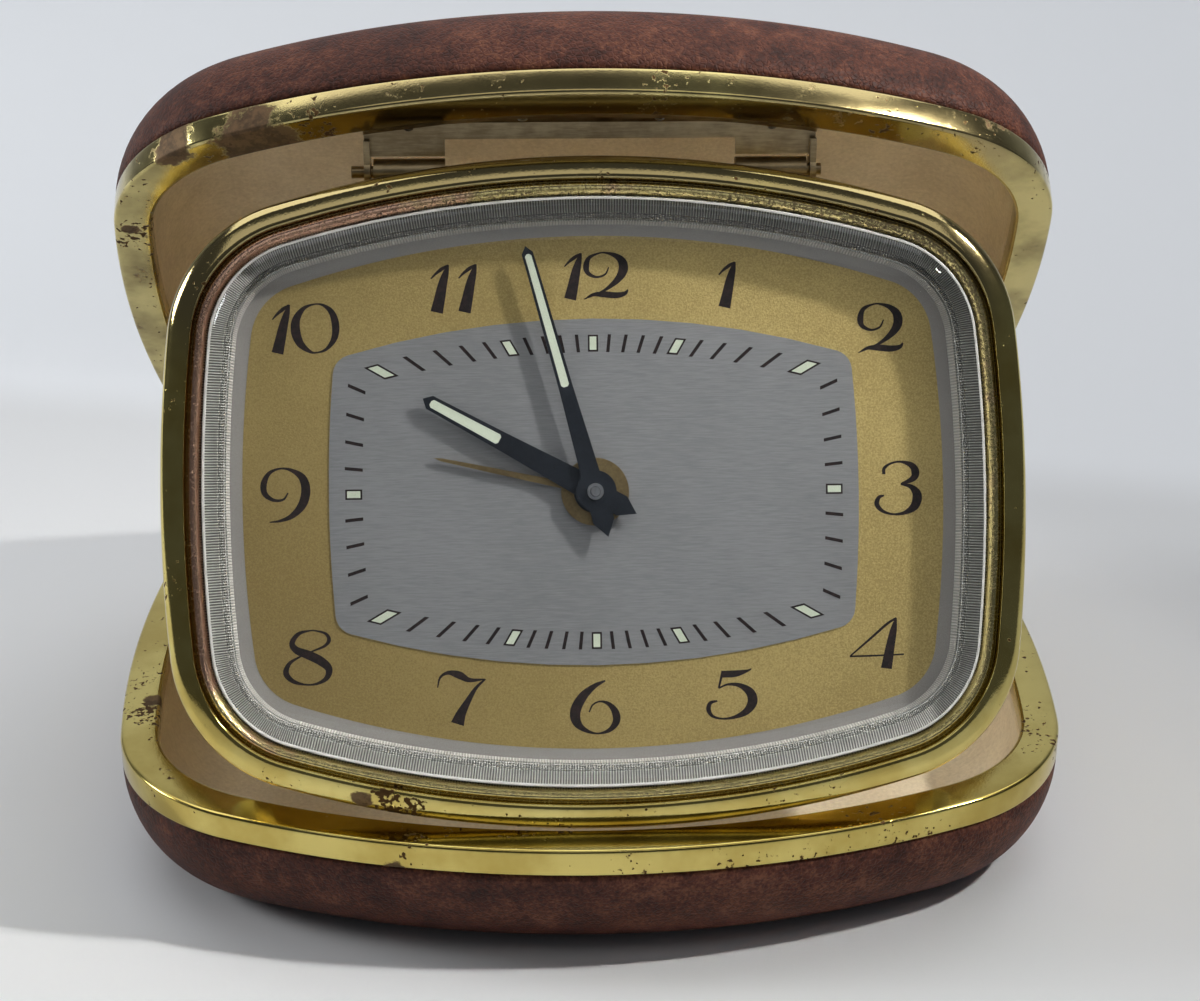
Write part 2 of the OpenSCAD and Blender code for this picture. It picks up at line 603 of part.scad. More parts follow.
module escape_wheel() color(steel) clock_frame() {
    arbor(escape_at);
    pinion(escape_at, low_y - leaf_past, low_y + wheel_t + leaf_past, escape_pinion_teeth, fourth_m,
        mesh(0, fourth_teeth, escape_dir, escape_pinion_teeth));
    slab(high_y, wheel_t) translate(escape_at) difference() {
        polygon([for (i = [0:escape_teeth - 1]) each [polar(0.72 * escape_tip_r, i * 360 / escape_teeth),
            polar(escape_tip_r, (i + 0.15) * 360 / escape_teeth),
            polar(0.78 * escape_tip_r, (i + 0.4) * 360 / escape_teeth)]]);
        circle(arbor_r - fit_gap);
    }
}
pallet_pin_r = 0.15;
pallet_pin_dirs = [pallet_dir - 45, pallet_dir + 45];
fork_w = 0.6;
module pallet_fork() color(steel) clock_frame() {
    arbor(pallet_at);
    slab(high_y, wheel_t) difference() {
        union() {
            translate(pallet_at) circle(2 * arbor_r);
            translate(pallet_at) rotate(balance_dir) translate([0, -fork_w / 2])
                square([fork_reach - roller_r - 2 * pallet_pin_r, fork_w]);
            for (a = pallet_pin_dirs) hull() {
                translate(pallet_at) circle(fork_w / 2);
                translate(escape_at + polar(escape_tip_r + 2 * fork_w, a)) circle(fork_w / 2);
            }
        }
        translate(escape_at) circle(escape_tip_r + move_gap);
        translate(pallet_at) circle(arbor_r - fit_gap);
    }
}
roller_r = 1.9;
balance_r = 5;
balance_rim = 0.8;
balance_t = 0.7;
module balance_wheel() color(brass) clock_frame() {
    arbor(balance_at);
    slab(low_y, balance_t) translate(balance_at) {
        difference() {
            circle(balance_r);
            circle(balance_r - balance_rim);
        }
        difference() {
            union() {
                square([2 * balance_r - balance_rim, balance_rim], center = true);
                circle(2 * arbor_r);
            }
            circle(arbor_r - fit_gap);
        }
    }
    slab(high_y - wheel_t, wheel_t / 2) translate(balance_at) difference() {
        circle(roller_r);
        circle(arbor_r - fit_gap);
    }
    rod(balance_at + polar(roller_r - 2 * pallet_pin_r, 180 + balance_dir), high_y - wheel_t / 2,
        high_y + wheel_t, pallet_pin_r);
}

// Flat spiral strip from radius r0 to r1
spiral_steps = 20;
module spiral(r0, r1, turns, w) {
    n = turns * spiral_steps;
    polygon(concat([for (i = [0:n]) polar(r0 + (r1 - r0) * i / n, 360 * i / spiral_steps)],
        [for (i = [n:-1:0]) polar(r0 + (r1 - r0) * i / n + w, 360 * i / spiral_steps)]));
}
hairspring_turns = 5;
hairspring_w = 0.12;
module hairspring() color(dark_steel) clock_frame() slab(low_y + balance_t, balance_t)
    translate(balance_at) spiral(2 * arbor_r, 3.6 * roller_r / 2, hairspring_turns, hairspring_w);

// Barrels: an open mainspring behind each great wheel, wound by a key on the same arbor
barrel_arbor_r = 0.9;
spring_turns = 6;
spring_w = 0.35;
module great(at, n, phase) wheel(at, high_y, wheel_t, n, great_m, phase, barrel_arbor_r + run_gap);
module mainspring(at, n) slab(low_y + wheel_t + move_gap, high_y - low_y - wheel_t - move_gap)
    translate(at) spiral(barrel_arbor_r + move_gap, 0.8 * pitch_r(n, great_m), spring_turns, spring_w);
module time_great_wheel() color(brass) clock_frame()
    great(great_at, great_teeth, mesh(0, centre_pinion_teeth, great_dir, great_teeth));
module time_mainspring() color(dark_steel) clock_frame() mainspring(great_at, great_teeth);
module alarm_great_wheel() color(brass) clock_frame() great(alarm_great_at, alarm_great_teeth, 0);
module alarm_mainspring() color(dark_steel) clock_frame() mainspring(alarm_great_at, alarm_great_teeth);
key_l = 9;
key_t = 1.3;
key_h = 2.4;
key_hub_r = 1.6;
key_gap = 0.3;
module winding_key(at, turn) {
    rod(at, plate_y + end_shake, clock_d + key_gap, barrel_arbor_r);
    slab(clock_d + key_gap, key_h) translate(at) rotate(turn) {
        circle(key_hub_r);
        centred_bar(key_l, key_t);
    }
}
module centred_bar(l, w) {
    square([l - w, w], center = true);
    for (x = [-1, 1]) translate([x * (l - w) / 2, 0]) circle(w / 2);
}
module time_winding_key() color(brass) clock_frame() winding_key(great_at, 15);
module alarm_winding_key() color(brass) clock_frame() winding_key(alarm_great_at, -25);

// Motion work under the dial
module cannon_pinion() color(steel) clock_frame() {
    tube(centre, minute_hand_y - hand_t, plate_y - end_shake, cannon_r, arbor_r);
    slab(minute_wheel_y - end_shake, thin_t + 2 * end_shake) difference() {
        gear(cannon_teeth, motion_m, 0);
        circle(cannon_r - fit_gap);
    }
}
module minute_wheel() color(brass) clock_frame() {
    rod(minute_at, hour_wheel_y - end_shake, between - end_shake, arbor_r);
    slab(minute_wheel_y, thin_t) translate(minute_at) difference() {
        gear(minute_teeth, motion_m, minute_phase);
        circle(arbor_r - fit_gap);
    }
    slab(hour_wheel_y - end_shake, thin_t + 2 * end_shake) translate(minute_at) difference() {
        gear(minute_pinion_teeth, hour_m, 0);
        circle(arbor_r - fit_gap);
    }
}
module hour_wheel() color(brass) clock_frame() {
    tube(centre, hour_hand_y - hand_t, hour_wheel_y + thin_t, hour_pipe_r, cannon_r + run_gap);
    slab(hour_wheel_y, thin_t) difference() {
        gear(hour_teeth, hour_m, mesh(0, minute_pinion_teeth, minute_dir + 180, hour_teeth));
        circle(hour_pipe_r - fit_gap);
    }
}
module alarm_wheel() color(brass) clock_frame() {
    tube(centre, alarm_hand_y - hand_t / 2, alarm_wheel_y + thin_t, alarm_pipe_r, hour_pipe_r + run_gap);
    slab(alarm_wheel_y, thin_t) difference() {
        gear(alarm_teeth, alarm_m, 0);
        circle(alarm_pipe_r - fit_gap);
    }
}
knob_r = 2.4;
knob_h = 2;
knob_flutes = 16;
module knob(at, y0) {
    rod(at, y0, clock_d + key_gap, arbor_r);
    slab(clock_d + key_gap, knob_h) translate(at) polygon([for (i = [0:2 * knob_flutes - 1])
        polar(i % 2 == 0 ? knob_r : 0.9 * knob_r, 180 * i / knob_flutes)]);
}
module alarm_set_knob() color(brass) clock_frame() {
    knob(alarm_set_at, alarm_wheel_y - end_shake);
    slab(alarm_wheel_y - end_shake, thin_t + 2 * end_shake) translate(alarm_set_at) difference() {
        gear(alarm_pinion_teeth, alarm_m, mesh(0, alarm_teeth, alarm_set_dir, alarm_pinion_teeth));
        circle(arbor_r - fit_gap);
    }
}
module time_set_knob() color(brass) clock_frame() {
    knob(time_set_at, minute_wheel_y - end_shake);
    slab(minute_wheel_y - end_shake, thin_t + 2 * end_shake) translate(time_set_at) difference() {
        gear(cannon_teeth, motion_m, mesh(minute_phase, minute_teeth, set_dir, cannon_teeth));
        circle(arbor_r - fit_gap);
    }
}

// Alarm: a star wheel knocks the hammer against the gong
strike_teeth = 12;
hammer_l = 11;
hammer_turn = -8;
hammer_head_r = 1.4;
hammer_w = 0.7;
module strike_wheel() color(steel) clock_frame() {
    arbor(strike_at);
    pinion(strike_at, high_y - leaf_past, high_y + wheel_t + leaf_past, strike_pinion_teeth, great_m,
        mesh(0, alarm_great_teeth, strike_dir, strike_pinion_teeth));
    slab(low_y, wheel_t) translate(strike_at) difference() {
        polygon([for (i = [0:2 * strike_teeth - 1])
            polar(i % 2 == 0 ? strike_r : 0.75 * strike_r, 180 * i / strike_teeth)]);
        circle(arbor_r - fit_gap);
    }
}
module alarm_hammer() color(steel) clock_frame() {
    arbor(hammer_at);
    slab(high_y, 1.6 * wheel_t) difference() {
        union() {
            translate(hammer_at) circle(2 * arbor_r);
            translate(hammer_at) rotate(hammer_turn) translate([0, -hammer_w / 2]) square([hammer_l, hammer_w]);
            translate(hammer_at + polar(hammer_l, hammer_turn)) circle(hammer_head_r);
        }
        translate(hammer_at) circle(arbor_r - fit_gap);
    }
}
gong_l = 20;
gong_w = 1.2;
module alarm_gong() color(steel) clock_frame() {
    slab(high_y - wheel_t, 2 * wheel_t) translate(gong_at) centred_bar(gong_l, gong_w);
    rod(gong_at + [0.4 * gong_l, 0], between, back_plate_y, 0.9 * gong_w);
}

// Plates, pillars and the back
plate_corner_r = 4;
counterbore_r = 1.2;
counterbore_t = 0.4;
button_r = 0.8;
button_head_r = 1.7;
button_head_t = 1;
button_travel = 0.8;
pivot_places = [third_at, fourth_at, escape_at, pallet_at, balance_at, strike_at, hammer_at];
module plate_shape() difference() {
    union() {
        square([plate_w - 2 * plate_corner_r, plate_h], center = true);
        square([plate_w, plate_h - 2 * plate_corner_r], center = true);
        for (x = [-1, 1], z = [-1, 1])
            translate([x * (plate_w / 2 - plate_corner_r), z * (plate_h / 2 - plate_corner_r)])
                circle(plate_corner_r);
    }
    for (p = pivot_places) translate(p) circle(pivot_r + run_gap);
    for (p = [centre, alarm_set_at, time_set_at]) translate(p) circle(arbor_r + run_gap);
    for (p = [great_at, alarm_great_at]) translate(p) circle(barrel_arbor_r + run_gap);
}
module front_plate() color(brass) clock_frame() slab(plate_y, plate_t) difference() {
    plate_shape();
    translate(minute_at) circle(arbor_r + run_gap);
}
module back_plate() color(brass) clock_frame() {
    slab(back_plate_y, plate_t - counterbore_t) difference() {
        plate_shape();
        for (p = post_places) translate(p) circle(screw_r);
        translate(button_at) circle(button_r + run_gap);
    }
    slab(back_plate_y + plate_t - counterbore_t, counterbore_t) difference() {
        plate_shape();
        for (p = post_places) translate(p) circle(counterbore_r);
        translate(button_at) circle(button_r + run_gap);
    }
}
module plate_pillars() color(brass) clock_frame() for (p = post_places)
    tube(p, between, back_plate_y, post_r, screw_r);
module pillar_screws() color(steel) clock_frame() for (p = post_places) {
    rod(p, back_plate_y - 2 * post_r, back_plate_y + plate_t - counterbore_t, screw_r - run_gap);
    rod(p, back_plate_y + plate_t - counterbore_t, back_plate_y + plate_t, counterbore_r - run_gap);
}
module back_cover() color(brass) clock_frame() slab(back_y, clock_wall_t) difference() {
    shape(band_inset);
    for (p = boss_places) translate(p) circle(screw_r);
    for (p = [alarm_set_at, time_set_at]) translate(p) circle(arbor_r + run_gap);
    for (p = [great_at, alarm_great_at]) translate(p) circle(barrel_arbor_r + run_gap);
    translate(button_at) circle(button_r + run_gap);
    translate(balance_at) circle(screw_r);
}
module back_screws() color(steel) clock_frame() for (p = boss_places) {
    rod(p, back_plate_y, clock_d, screw_r - run_gap);
    rod(p, clock_d, clock_d + screw_head_t, screw_head_r);
}
module alarm_stop_button() color(brass) clock_frame() {
    rod(button_at, back_plate_y + end_shake, clock_d + button_travel + end_shake, button_r);
    rod(button_at, clock_d + button_travel + end_shake, clock_d + button_travel + button_head_t, button_head_r);
}
regulator_l = 5;
regulator_t = 0.4;
module regulator_lever() color(steel) clock_frame() {
    rod(balance_at, back_y + end_shake, clock_d + end_shake, screw_r - run_gap);
    slab(clock_d + end_shake, regulator_t) translate(balance_at) {
        circle(2 * screw_r);
        translate([0, -screw_r / 2]) square([regulator_l, screw_r]);
    }
}

base_shell();
base_cover();
base_rim();
base_lining();
lid_shell();
lid_cover();
lid_rim();
lid_lining();
rear_hinge_base_leaf();
rear_hinge_lid_leaf();
rear_hinge_pin();
clock_bracket();
bracket_rivets();
clock_hinge_pin();
bezel();
bezel_inner_ring();
crystal();
rehaut_ring();
dial_plate();
dial_centre_panel();
dial_feet();
minute_hand();
minute_hand_lume();
hour_hand();
hour_hand_lume();
alarm_hand();
clock_band();
hinge_lugs();
back_cover();
back_screws();
front_plate();
back_plate();
plate_pillars();
pillar_screws();
centre_arbor();
centre_wheel();
cannon_pinion();
minute_wheel();
hour_wheel();
alarm_wheel();
alarm_set_knob();
time_set_knob();
time_great_wheel();
time_mainspring();
time_winding_key();
alarm_great_wheel();
alarm_mainspring();
alarm_winding_key();
third_wheel();
fourth_wheel();
escape_wheel();
pallet_fork();
balance_wheel();
hairspring();
strike_wheel();
alarm_hammer();
alarm_gong();
alarm_stop_button();
regulator_lever();
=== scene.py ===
# %% [markdown]
# A folding travel alarm clock, dressed for its portrait
#
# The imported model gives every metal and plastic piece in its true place. This lesson builds the
# looks round it: smooth brass, leatherette, a printed dial and a clear crystal. All lengths in the
# working frames are millimetres, and each mesh is turned into metres in the model's own frame when
# it is made, so that every object sits at the origin.

# %% Load the model
import json
import math

import bmesh
import bpy
import numpy as np
from mathutils import Matrix, Vector


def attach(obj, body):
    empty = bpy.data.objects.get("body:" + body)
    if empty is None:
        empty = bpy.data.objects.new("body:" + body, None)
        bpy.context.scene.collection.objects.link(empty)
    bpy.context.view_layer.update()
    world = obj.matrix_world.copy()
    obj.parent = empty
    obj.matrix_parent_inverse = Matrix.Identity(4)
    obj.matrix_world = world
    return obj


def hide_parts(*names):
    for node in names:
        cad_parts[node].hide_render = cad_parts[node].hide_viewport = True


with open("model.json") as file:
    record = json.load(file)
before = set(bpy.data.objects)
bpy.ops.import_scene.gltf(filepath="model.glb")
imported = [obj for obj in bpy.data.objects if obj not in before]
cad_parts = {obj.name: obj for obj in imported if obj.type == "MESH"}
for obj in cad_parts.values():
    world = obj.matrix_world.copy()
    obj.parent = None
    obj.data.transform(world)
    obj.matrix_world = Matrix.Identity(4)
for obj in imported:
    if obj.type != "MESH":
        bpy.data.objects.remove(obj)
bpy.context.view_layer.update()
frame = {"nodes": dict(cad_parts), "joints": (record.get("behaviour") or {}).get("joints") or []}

MM = 0.001

# %% [markdown]
# Three frames carry all the pieces: the base, the lid and the leaning clock. Each could be typed in
# as a matrix, but the model already knows its hinges, so the frames are worked out from them and
# stay right if the model changes.

# %% The working frames
joints = {j["name"]: j for j in frame["joints"]}
LEAN = 24.9  # how far the clock leans back, degrees
OPEN = 48.0  # how far the case stands open, degrees
HINGE_BACK = 45.1  # from the middle of the case to the rear hinge
PIN_DEPTH, PIN_HEIGHT = 5.5, 31.735  # of the clock's hinge pin, from the middle of its face


def tilted(degrees):
    """Rows are the frame's x, y and z directions after its top has leaned back by the angle."""
    c, s = math.cos(math.radians(degrees)), math.sin(math.radians(degrees))
    return np.array([[1, 0, 0], [0, c, -s], [0, s, c]])


class Place:
    """A working frame in millimetres: world = origin + x, y, z along the frame's own directions."""

    def __init__(self, origin, axes):
        self.origin, self.axes = np.array(origin, float), np.array(axes, float)

    def world(self, points):
        return (self.origin + np.asarray(points, float) @ self.axes) * MM


rear_hinge = np.array(joints["lid_hinge"]["pos_m"]) / MM
clock_pin = np.array(joints["clock_hinge"]["pos_m"]) / MM
BASE = Place(rear_hinge - [0, HINGE_BACK, 0], np.eye(3))
lid_axes = tilted(OPEN)
LID = Place(rear_hinge - HINGE_BACK * lid_axes[1], lid_axes)
clock_axes = tilted(LEAN)
CLOCK = Place(clock_pin - PIN_DEPTH * clock_axes[1] - PIN_HEIGHT * clock_axes[2], clock_axes)
print("middle of the clock's face, mm:", CLOCK.origin.round(2))

# %% [markdown]
# The camera comes first, because everything is judged through it. Its place and lens were worked
# out by matching the outlines of the bezel and of the two brass rims to the photograph: it looks
# down on the clock by 24 degrees from about a quarter of a metre, nearly square to the leaning
# face.

# %% The camera
LENS, SENSOR = 70.27, 36
YAW, PITCH, TILT = -0.0418, -0.4219, -0.0046  # radians, from looking level along +y
FROM_BASE = (-8.274, -232.656, 121.512)  # where it stands, from the middle of the base's rim

camera = bpy.data.objects.new("camera", bpy.data.cameras.new("camera"))
bpy.context.scene.collection.objects.link(camera)
camera.data.lens = LENS
camera.data.sensor_width = SENSOR
camera.data.clip_start = 0.01
aim = Matrix.Rotation(YAW, 3, "Z")
for angle, axis in ((PITCH, "X"), (TILT, "Y"), (math.pi / 2, "X")):
    aim = aim @ Matrix.Rotation(angle, 3, axis)
stand = Vector(BASE.origin * MM) + Vector(FROM_BASE) * MM
camera.matrix_world = Matrix.Translation(stand) @ aim.to_4x4()
bpy.context.scene.camera = camera
print("camera, mm:", [round(c / MM, 1) for c in camera.matrix_world.translation])

# %% [markdown]
# Every finish is a small calculation over the surface. Wiring Math nodes by hand hides the idea, so
# a socket is wrapped in a class that knows plus, minus and times: an expression on signals adds its
# own nodes.

# %% Finishes as expressions
class Signal:
    """A number or colour that varies over a surface: an output socket with Python's arithmetic."""

    def __init__(self, finish, socket):
        self.finish, self.socket = finish, socket

    def _math(self, operation, first, second):
        return self.finish.add("ShaderNodeMath", {"operation": operation}, {0: first, 1: second})

    def __add__(self, other):
        return self._math("ADD", self, other)

    def __sub__(self, other):
        return self._math("SUBTRACT", self, other)

    def __rsub__(self, other):
        return self._math("SUBTRACT", other, self)

    def __mul__(self, other):
        return self._math("MULTIPLY", self, other)

    def larger(self, other):
        return self._math("MAXIMUM", self, other)

    def wave(self, period_mm):
        """0 to 1 and back each period, where the signal is a length in metres."""
        turns = self * (2 * math.pi / (period_mm * MM))
        return self.finish.add("ShaderNodeMath", {"operation": "SINE"}, {0: turns}) * 0.5 + 0.5

    __radd__ = __add__
    __rmul__ = __mul__


class Finish:
    """A material being mixed. add() makes any node; the rest are short names for common ones."""

    def __init__(self, name):
        self.material = bpy.data.materials.new(name)
        self.material.use_nodes = True
        self.tree = self.material.node_tree
        self.shader = self.tree.nodes["Principled BSDF"]
        self.place = self.add("ShaderNodeTexCoord", out="Object")

    def add(self, kind, settings=None, sockets=None, out=0):
        """Adds a node: its settings, then the value or link of each named or numbered socket."""
        node = self.tree.nodes.new(kind)
        for key, value in (settings or {}).items():
            if key == "stops":
                ramp = node.color_ramp
                while len(ramp.elements) < len(value):
                    ramp.elements.new(0.5)
                for element, (position, colour) in zip(ramp.elements, value):
                    element.position, element.color = position, (*colour, 1)
            else:
                setattr(node, key, value)
        for key, value in (sockets or {}).items():
            self.feed(self.pick(node.inputs, key), value)
        return Signal(self, self.pick(node.outputs, out))

    @staticmethod
    def pick(sockets, key):
        if isinstance(key, int):
            return sockets[key]
        return next(s for s in sockets if key in (s.identifier, s.name))

    def feed(self, socket, value):
        if isinstance(value, Signal):
            self.tree.links.new(value.socket, socket)
        elif socket.type == "RGBA" and len(value) == 3:
            socket.default_value = (*value, 1)
        else:
            socket.default_value = value

    def set(self, **sockets):
        """Sets or links inputs of the surface shader, such as base_color or roughness."""
        for key, value in sockets.items():
            name = key.replace("_", " ").title().replace("Ior", "IOR")
            self.feed(self.pick(self.shader.inputs, name), value)
        return self

    def noise(self, size_mm, detail=3.0, rough=0.55, vector=None, twist=0.0):
        """Cloudy noise whose blotches are about size_mm across."""
        return self.add("ShaderNodeTexNoise", {}, {
            "Vector": vector or self.place, "Scale": 1 / (size_mm * MM), "Detail": detail,
            "Roughness": rough, "Distortion": twist})

    def cells(self, size_mm, feature):
        """Cells about size_mm across, measured from their middles or their edges."""
        return self.add("ShaderNodeTexVoronoi", {"feature": feature},
                        {"Vector": self.place, "Scale": 1 / (size_mm * MM)}, out="Distance")

    def step(self, value, low, high):
        """0 below low and 1 above high, with a smooth rise between them."""
        return self.add("ShaderNodeMapRange", {"interpolation_type": "SMOOTHSTEP"},
                        {"Value": value, "From Min": low, "From Max": high})

    def spot(self, point, radius_mm):
        """1 at a point of the object's frame in millimetres, falling to 0 at the radius."""
        away = self.add("ShaderNodeVectorMath", {"operation": "DISTANCE"},
                        {0: self.place, 1: tuple(np.array(point) * MM)}, out="Value")
        return 1 - self.step(away, 0.0, radius_mm * MM)

    def stretched(self, scale):
        """The object's coordinates, scaled along x, y and z."""
        return self.add("ShaderNodeMapping", {}, {"Vector": self.place, "Scale": scale})

    def mix(self, mask, first, second):
        sockets = {"Factor_Float": mask, "A_Color": first, "B_Color": second}
        return self.add("ShaderNodeMix", {"data_type": "RGBA"}, sockets, out="Result_Color")

    def ramp(self, value, *stops):
        return self.add("ShaderNodeValToRGB", {"stops": stops}, {"Fac": value}, out="Color")

    def ribs(self, period_mm):
        """Ribs across a swept piece: a wave along the metres round it, which its UV map holds."""
        around = self.add("ShaderNodeUVMap", {"uv_map": "around"})
        return self.add("ShaderNodeSeparateXYZ", {}, {0: around}, out="X").wave(period_mm)

    def bump(self, height, depth_mm):
        sockets = {"Height": height, "Distance": depth_mm * MM, "Strength": 1.0}
        return self.set(normal=self.add("ShaderNodeBump", {}, sockets))


# %% [markdown]
# Most of the clock is one idea repeated: a rounded shape made of eight arcs, drawn in by some
# amount. The arcs could be a Bezier curve with a bevel, but then each wall needs its own curve.
# Worked out on a grid, one function makes a rim, a shell, a bezel or a crystal from nothing but a
# list of how far in and how deep.

# %% Rounded outlines and sweeps
# Each shape: half width, half height, radius of the bowed top and of the bowed sides, corner radius
CASE = (50.1, 43.5, 91.5, 166.9, 20.7)
FACE = (42.0, 32.635, 107.4, 153.3, 14.4)
PANEL = (26.0, 17.0, 87.0, 135.0, 2.0)
GOLD = (34.55, 25.33, 94.5, 122.0, 6.0)
CAP_RINGS = (0.93, 0.8, 0.6, 0.4, 0.2, 0.05)  # shrinking rings that close a sweep's open end
MOST_CUT = 0.45  # the share of a side that one rounded corner may take


def outline(shape, inset, steps=26):
    """Closed loop of points, counter-clockwise from the right-hand middle: each quadrant is a side
    arc, a corner arc and a top arc that share a tangent where they meet, drawn in by the inset."""
    half_w, half_h, top_r, side_r, corner_r = shape
    top, side = np.array([0, half_h - top_r]), np.array([half_w - side_r, 0])
    span = side - top
    gap = np.hypot(*span)
    near, far = top_r - corner_r, side_r - corner_r
    along = (near**2 - far**2 + gap**2) / (2 * gap)
    across = math.sqrt(near**2 - along**2)
    unit = span / gap
    normal = np.array([-unit[1], unit[0]])
    corner = max((top + along * unit + s * across * normal for s in (1, -1)), key=np.sum)
    low = math.atan2(*(corner - side)[::-1])
    high = math.atan2(*(corner - top)[::-1])

    def arc(centre, radius, start, end):
        t = np.linspace(start, end, steps, endpoint=False)[:, None]
        return centre + radius * np.hstack([np.cos(t), np.sin(t)])

    quarter = np.vstack([
        arc(side, side_r - inset, 0, low), arc(corner, corner_r - inset, low, high),
        arc(top, top_r - inset, high, math.pi / 2), [[0, half_h - inset]]])
    half = np.vstack([quarter, (quarter * [-1, 1])[-2::-1]])
    return np.vstack([half, (half * [1, -1])[-2:0:-1]])


def rounded(profile, radius, closed=True, steps=5):
    """Softens each corner of a profile: cut at the radius on both sides, bridged by a parabola."""
    points = np.array(profile, float)
    n = len(points)
    out = []
    for i in range(n):
        if not closed and i in (0, n - 1):
            out.append(points[i:i + 1])
            continue
        before, here, after = points[i - 1], points[i], points[(i + 1) % n]
        lengths = [np.hypot(*(q - here)) for q in (before, after)]
        reach = [min(radius, d * MOST_CUT) / max(d, 1e-9) for d in lengths]
        a, b = here + (before - here) * reach[0], here + (after - here) * reach[1]
        t = np.linspace(0, 1, steps)[:, None]
        out.append((1 - t) ** 2 * a + 2 * t * (1 - t) * here + t**2 * b)
    return np.vstack(out)


def make(name, points, faces, place, body, uv=None, smooth=True):
    """Makes a mesh object at the origin from points and faces, turns the faces outwards and hangs
    the object on a body."""
    mesh = bpy.data.meshes.new(name)
    mesh.from_pydata(place.world(points).tolist(), [], faces)
    if uv is not None:
        layer = mesh.uv_layers.new(name="around")
        layer.data.foreach_set("uv", np.asarray(uv, np.float32).ravel())
    piece = bpy.data.objects.new(name, mesh)
    bpy.context.scene.collection.objects.link(piece)
    work = bmesh.new()
    work.from_mesh(mesh)
    bmesh.ops.recalc_face_normals(work, faces=work.faces)
    work.to_mesh(mesh)
    work.free()
    mesh.polygons.foreach_set("use_smooth", np.full(len(mesh.polygons), smooth))
    mesh.update()
    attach(piece, body)
    return piece


def skin(name, loops, place, body, closed=True, spacing=None, around=None, smooth=True):
    """Grid surface through equal loops: u runs round each loop, v from loop to loop, and each face
    joins four neighbours. A closed skin joins its last loop to its first; an open one ends in two
    flat polygons. Its UV map holds metres round the loop and metres across."""
    n, m = len(loops[0]), len(loops)
    if around is None:
        around = np.arange(n + 1) / n
    if spacing is None:
        gaps = [np.linalg.norm(b[0] - a[0]) for a, b in zip(loops, loops[1:] + loops[:1])]
        spacing = np.r_[0, np.cumsum(gaps)]
    rows = m if closed else m - 1
    j, i = np.meshgrid(np.arange(rows), np.arange(n), indexing="ij")
    k, e = (j + 1) % m, (i + 1) % n
    faces = np.stack([j * n + i, j * n + e, k * n + e, k * n + i], -1).reshape(-1, 4).tolist()
    corners = ((i, j), (i + 1, j), (i + 1, j + 1), (i, j + 1))
    uv = np.stack([np.stack([around[a], spacing[b]], -1) for a, b in corners], 2).reshape(-1, 2)
    if not closed:
        faces += [list(range(n)), list(range((m - 1) * n, m * n))[::-1]]
        uv = np.vstack([uv, np.zeros((2 * n, 2))])
    return make(name, np.vstack(loops), faces, place, body, uv * MM, smooth)


def loop(shape, inset, height, upright=True):
    """An outline as points in space, standing up as a dial does or lying down as the case does."""
    flat = outline(shape, inset)
    depth = np.full(len(flat), height)
    return np.column_stack([flat[:, 0], depth, flat[:, 1]] if upright else [flat, depth])


def sweep(name, shape, profile, place, body, closed=True, upright=False, dome=(0, 0)):
    """Surface of two parameters: u runs round the outline, v along the profile, and the point is
    the outline drawn in by the profile's first number at the height of its second. An open profile
    gets a cap on each end: rings that shrink to the middle, and swell by dome. Upright stands the
    outline up as a dial, with height running back."""
    loops = [loop(shape, inset, height, upright) for inset, height in profile]
    spacing = np.r_[0, np.cumsum(np.hypot(*np.diff(np.vstack([profile, profile[:1]]), axis=0).T))]
    up = 1 if upright else 2
    if not closed:
        def cap(ring, swell):
            rings = []
            for share in CAP_RINGS:
                smaller = ring * share
                smaller[:, up] = ring[:, up] + swell * (1 - share**2)
                rings.append(smaller)
            return rings

        loops = cap(loops[0], dome[0])[::-1] + loops + cap(loops[-1], dome[1])
        n = len(CAP_RINGS)
        spacing = np.r_[np.arange(-n, 0), spacing[:-1], spacing[-2] + np.arange(1, n + 2)]
    reach = outline(shape, 2)
    around = np.r_[0, np.cumsum(np.hypot(*np.diff(np.vstack([reach, reach[:1]]), axis=0).T))]
    return skin(name, loops, place, body, closed, spacing, around)


print("points round an outline:", len(outline(CASE, 0)))


# %% [markdown]
# Old brass is never one colour. It is polished pale yellow where hands rub it, goes brown where
# they don't, and collects dark pits and crusty freckles along its edges. An image texture would
# hold one clock's stains; noise thresholds make the same kinds of stain, and a few placed spots put
# the worst ones where this clock has them. Other placed patches are painted shade: dark olive on
# the tops of the lid's band and the bezel.

# %% Brass
SHADE_OLIVE, PIT = (0.46, 0.37, 0.17), (0.10, 0.055, 0.022)
DARK_STAIN, RED_STAIN = (0.060, 0.028, 0.016), (0.150, 0.080, 0.040)


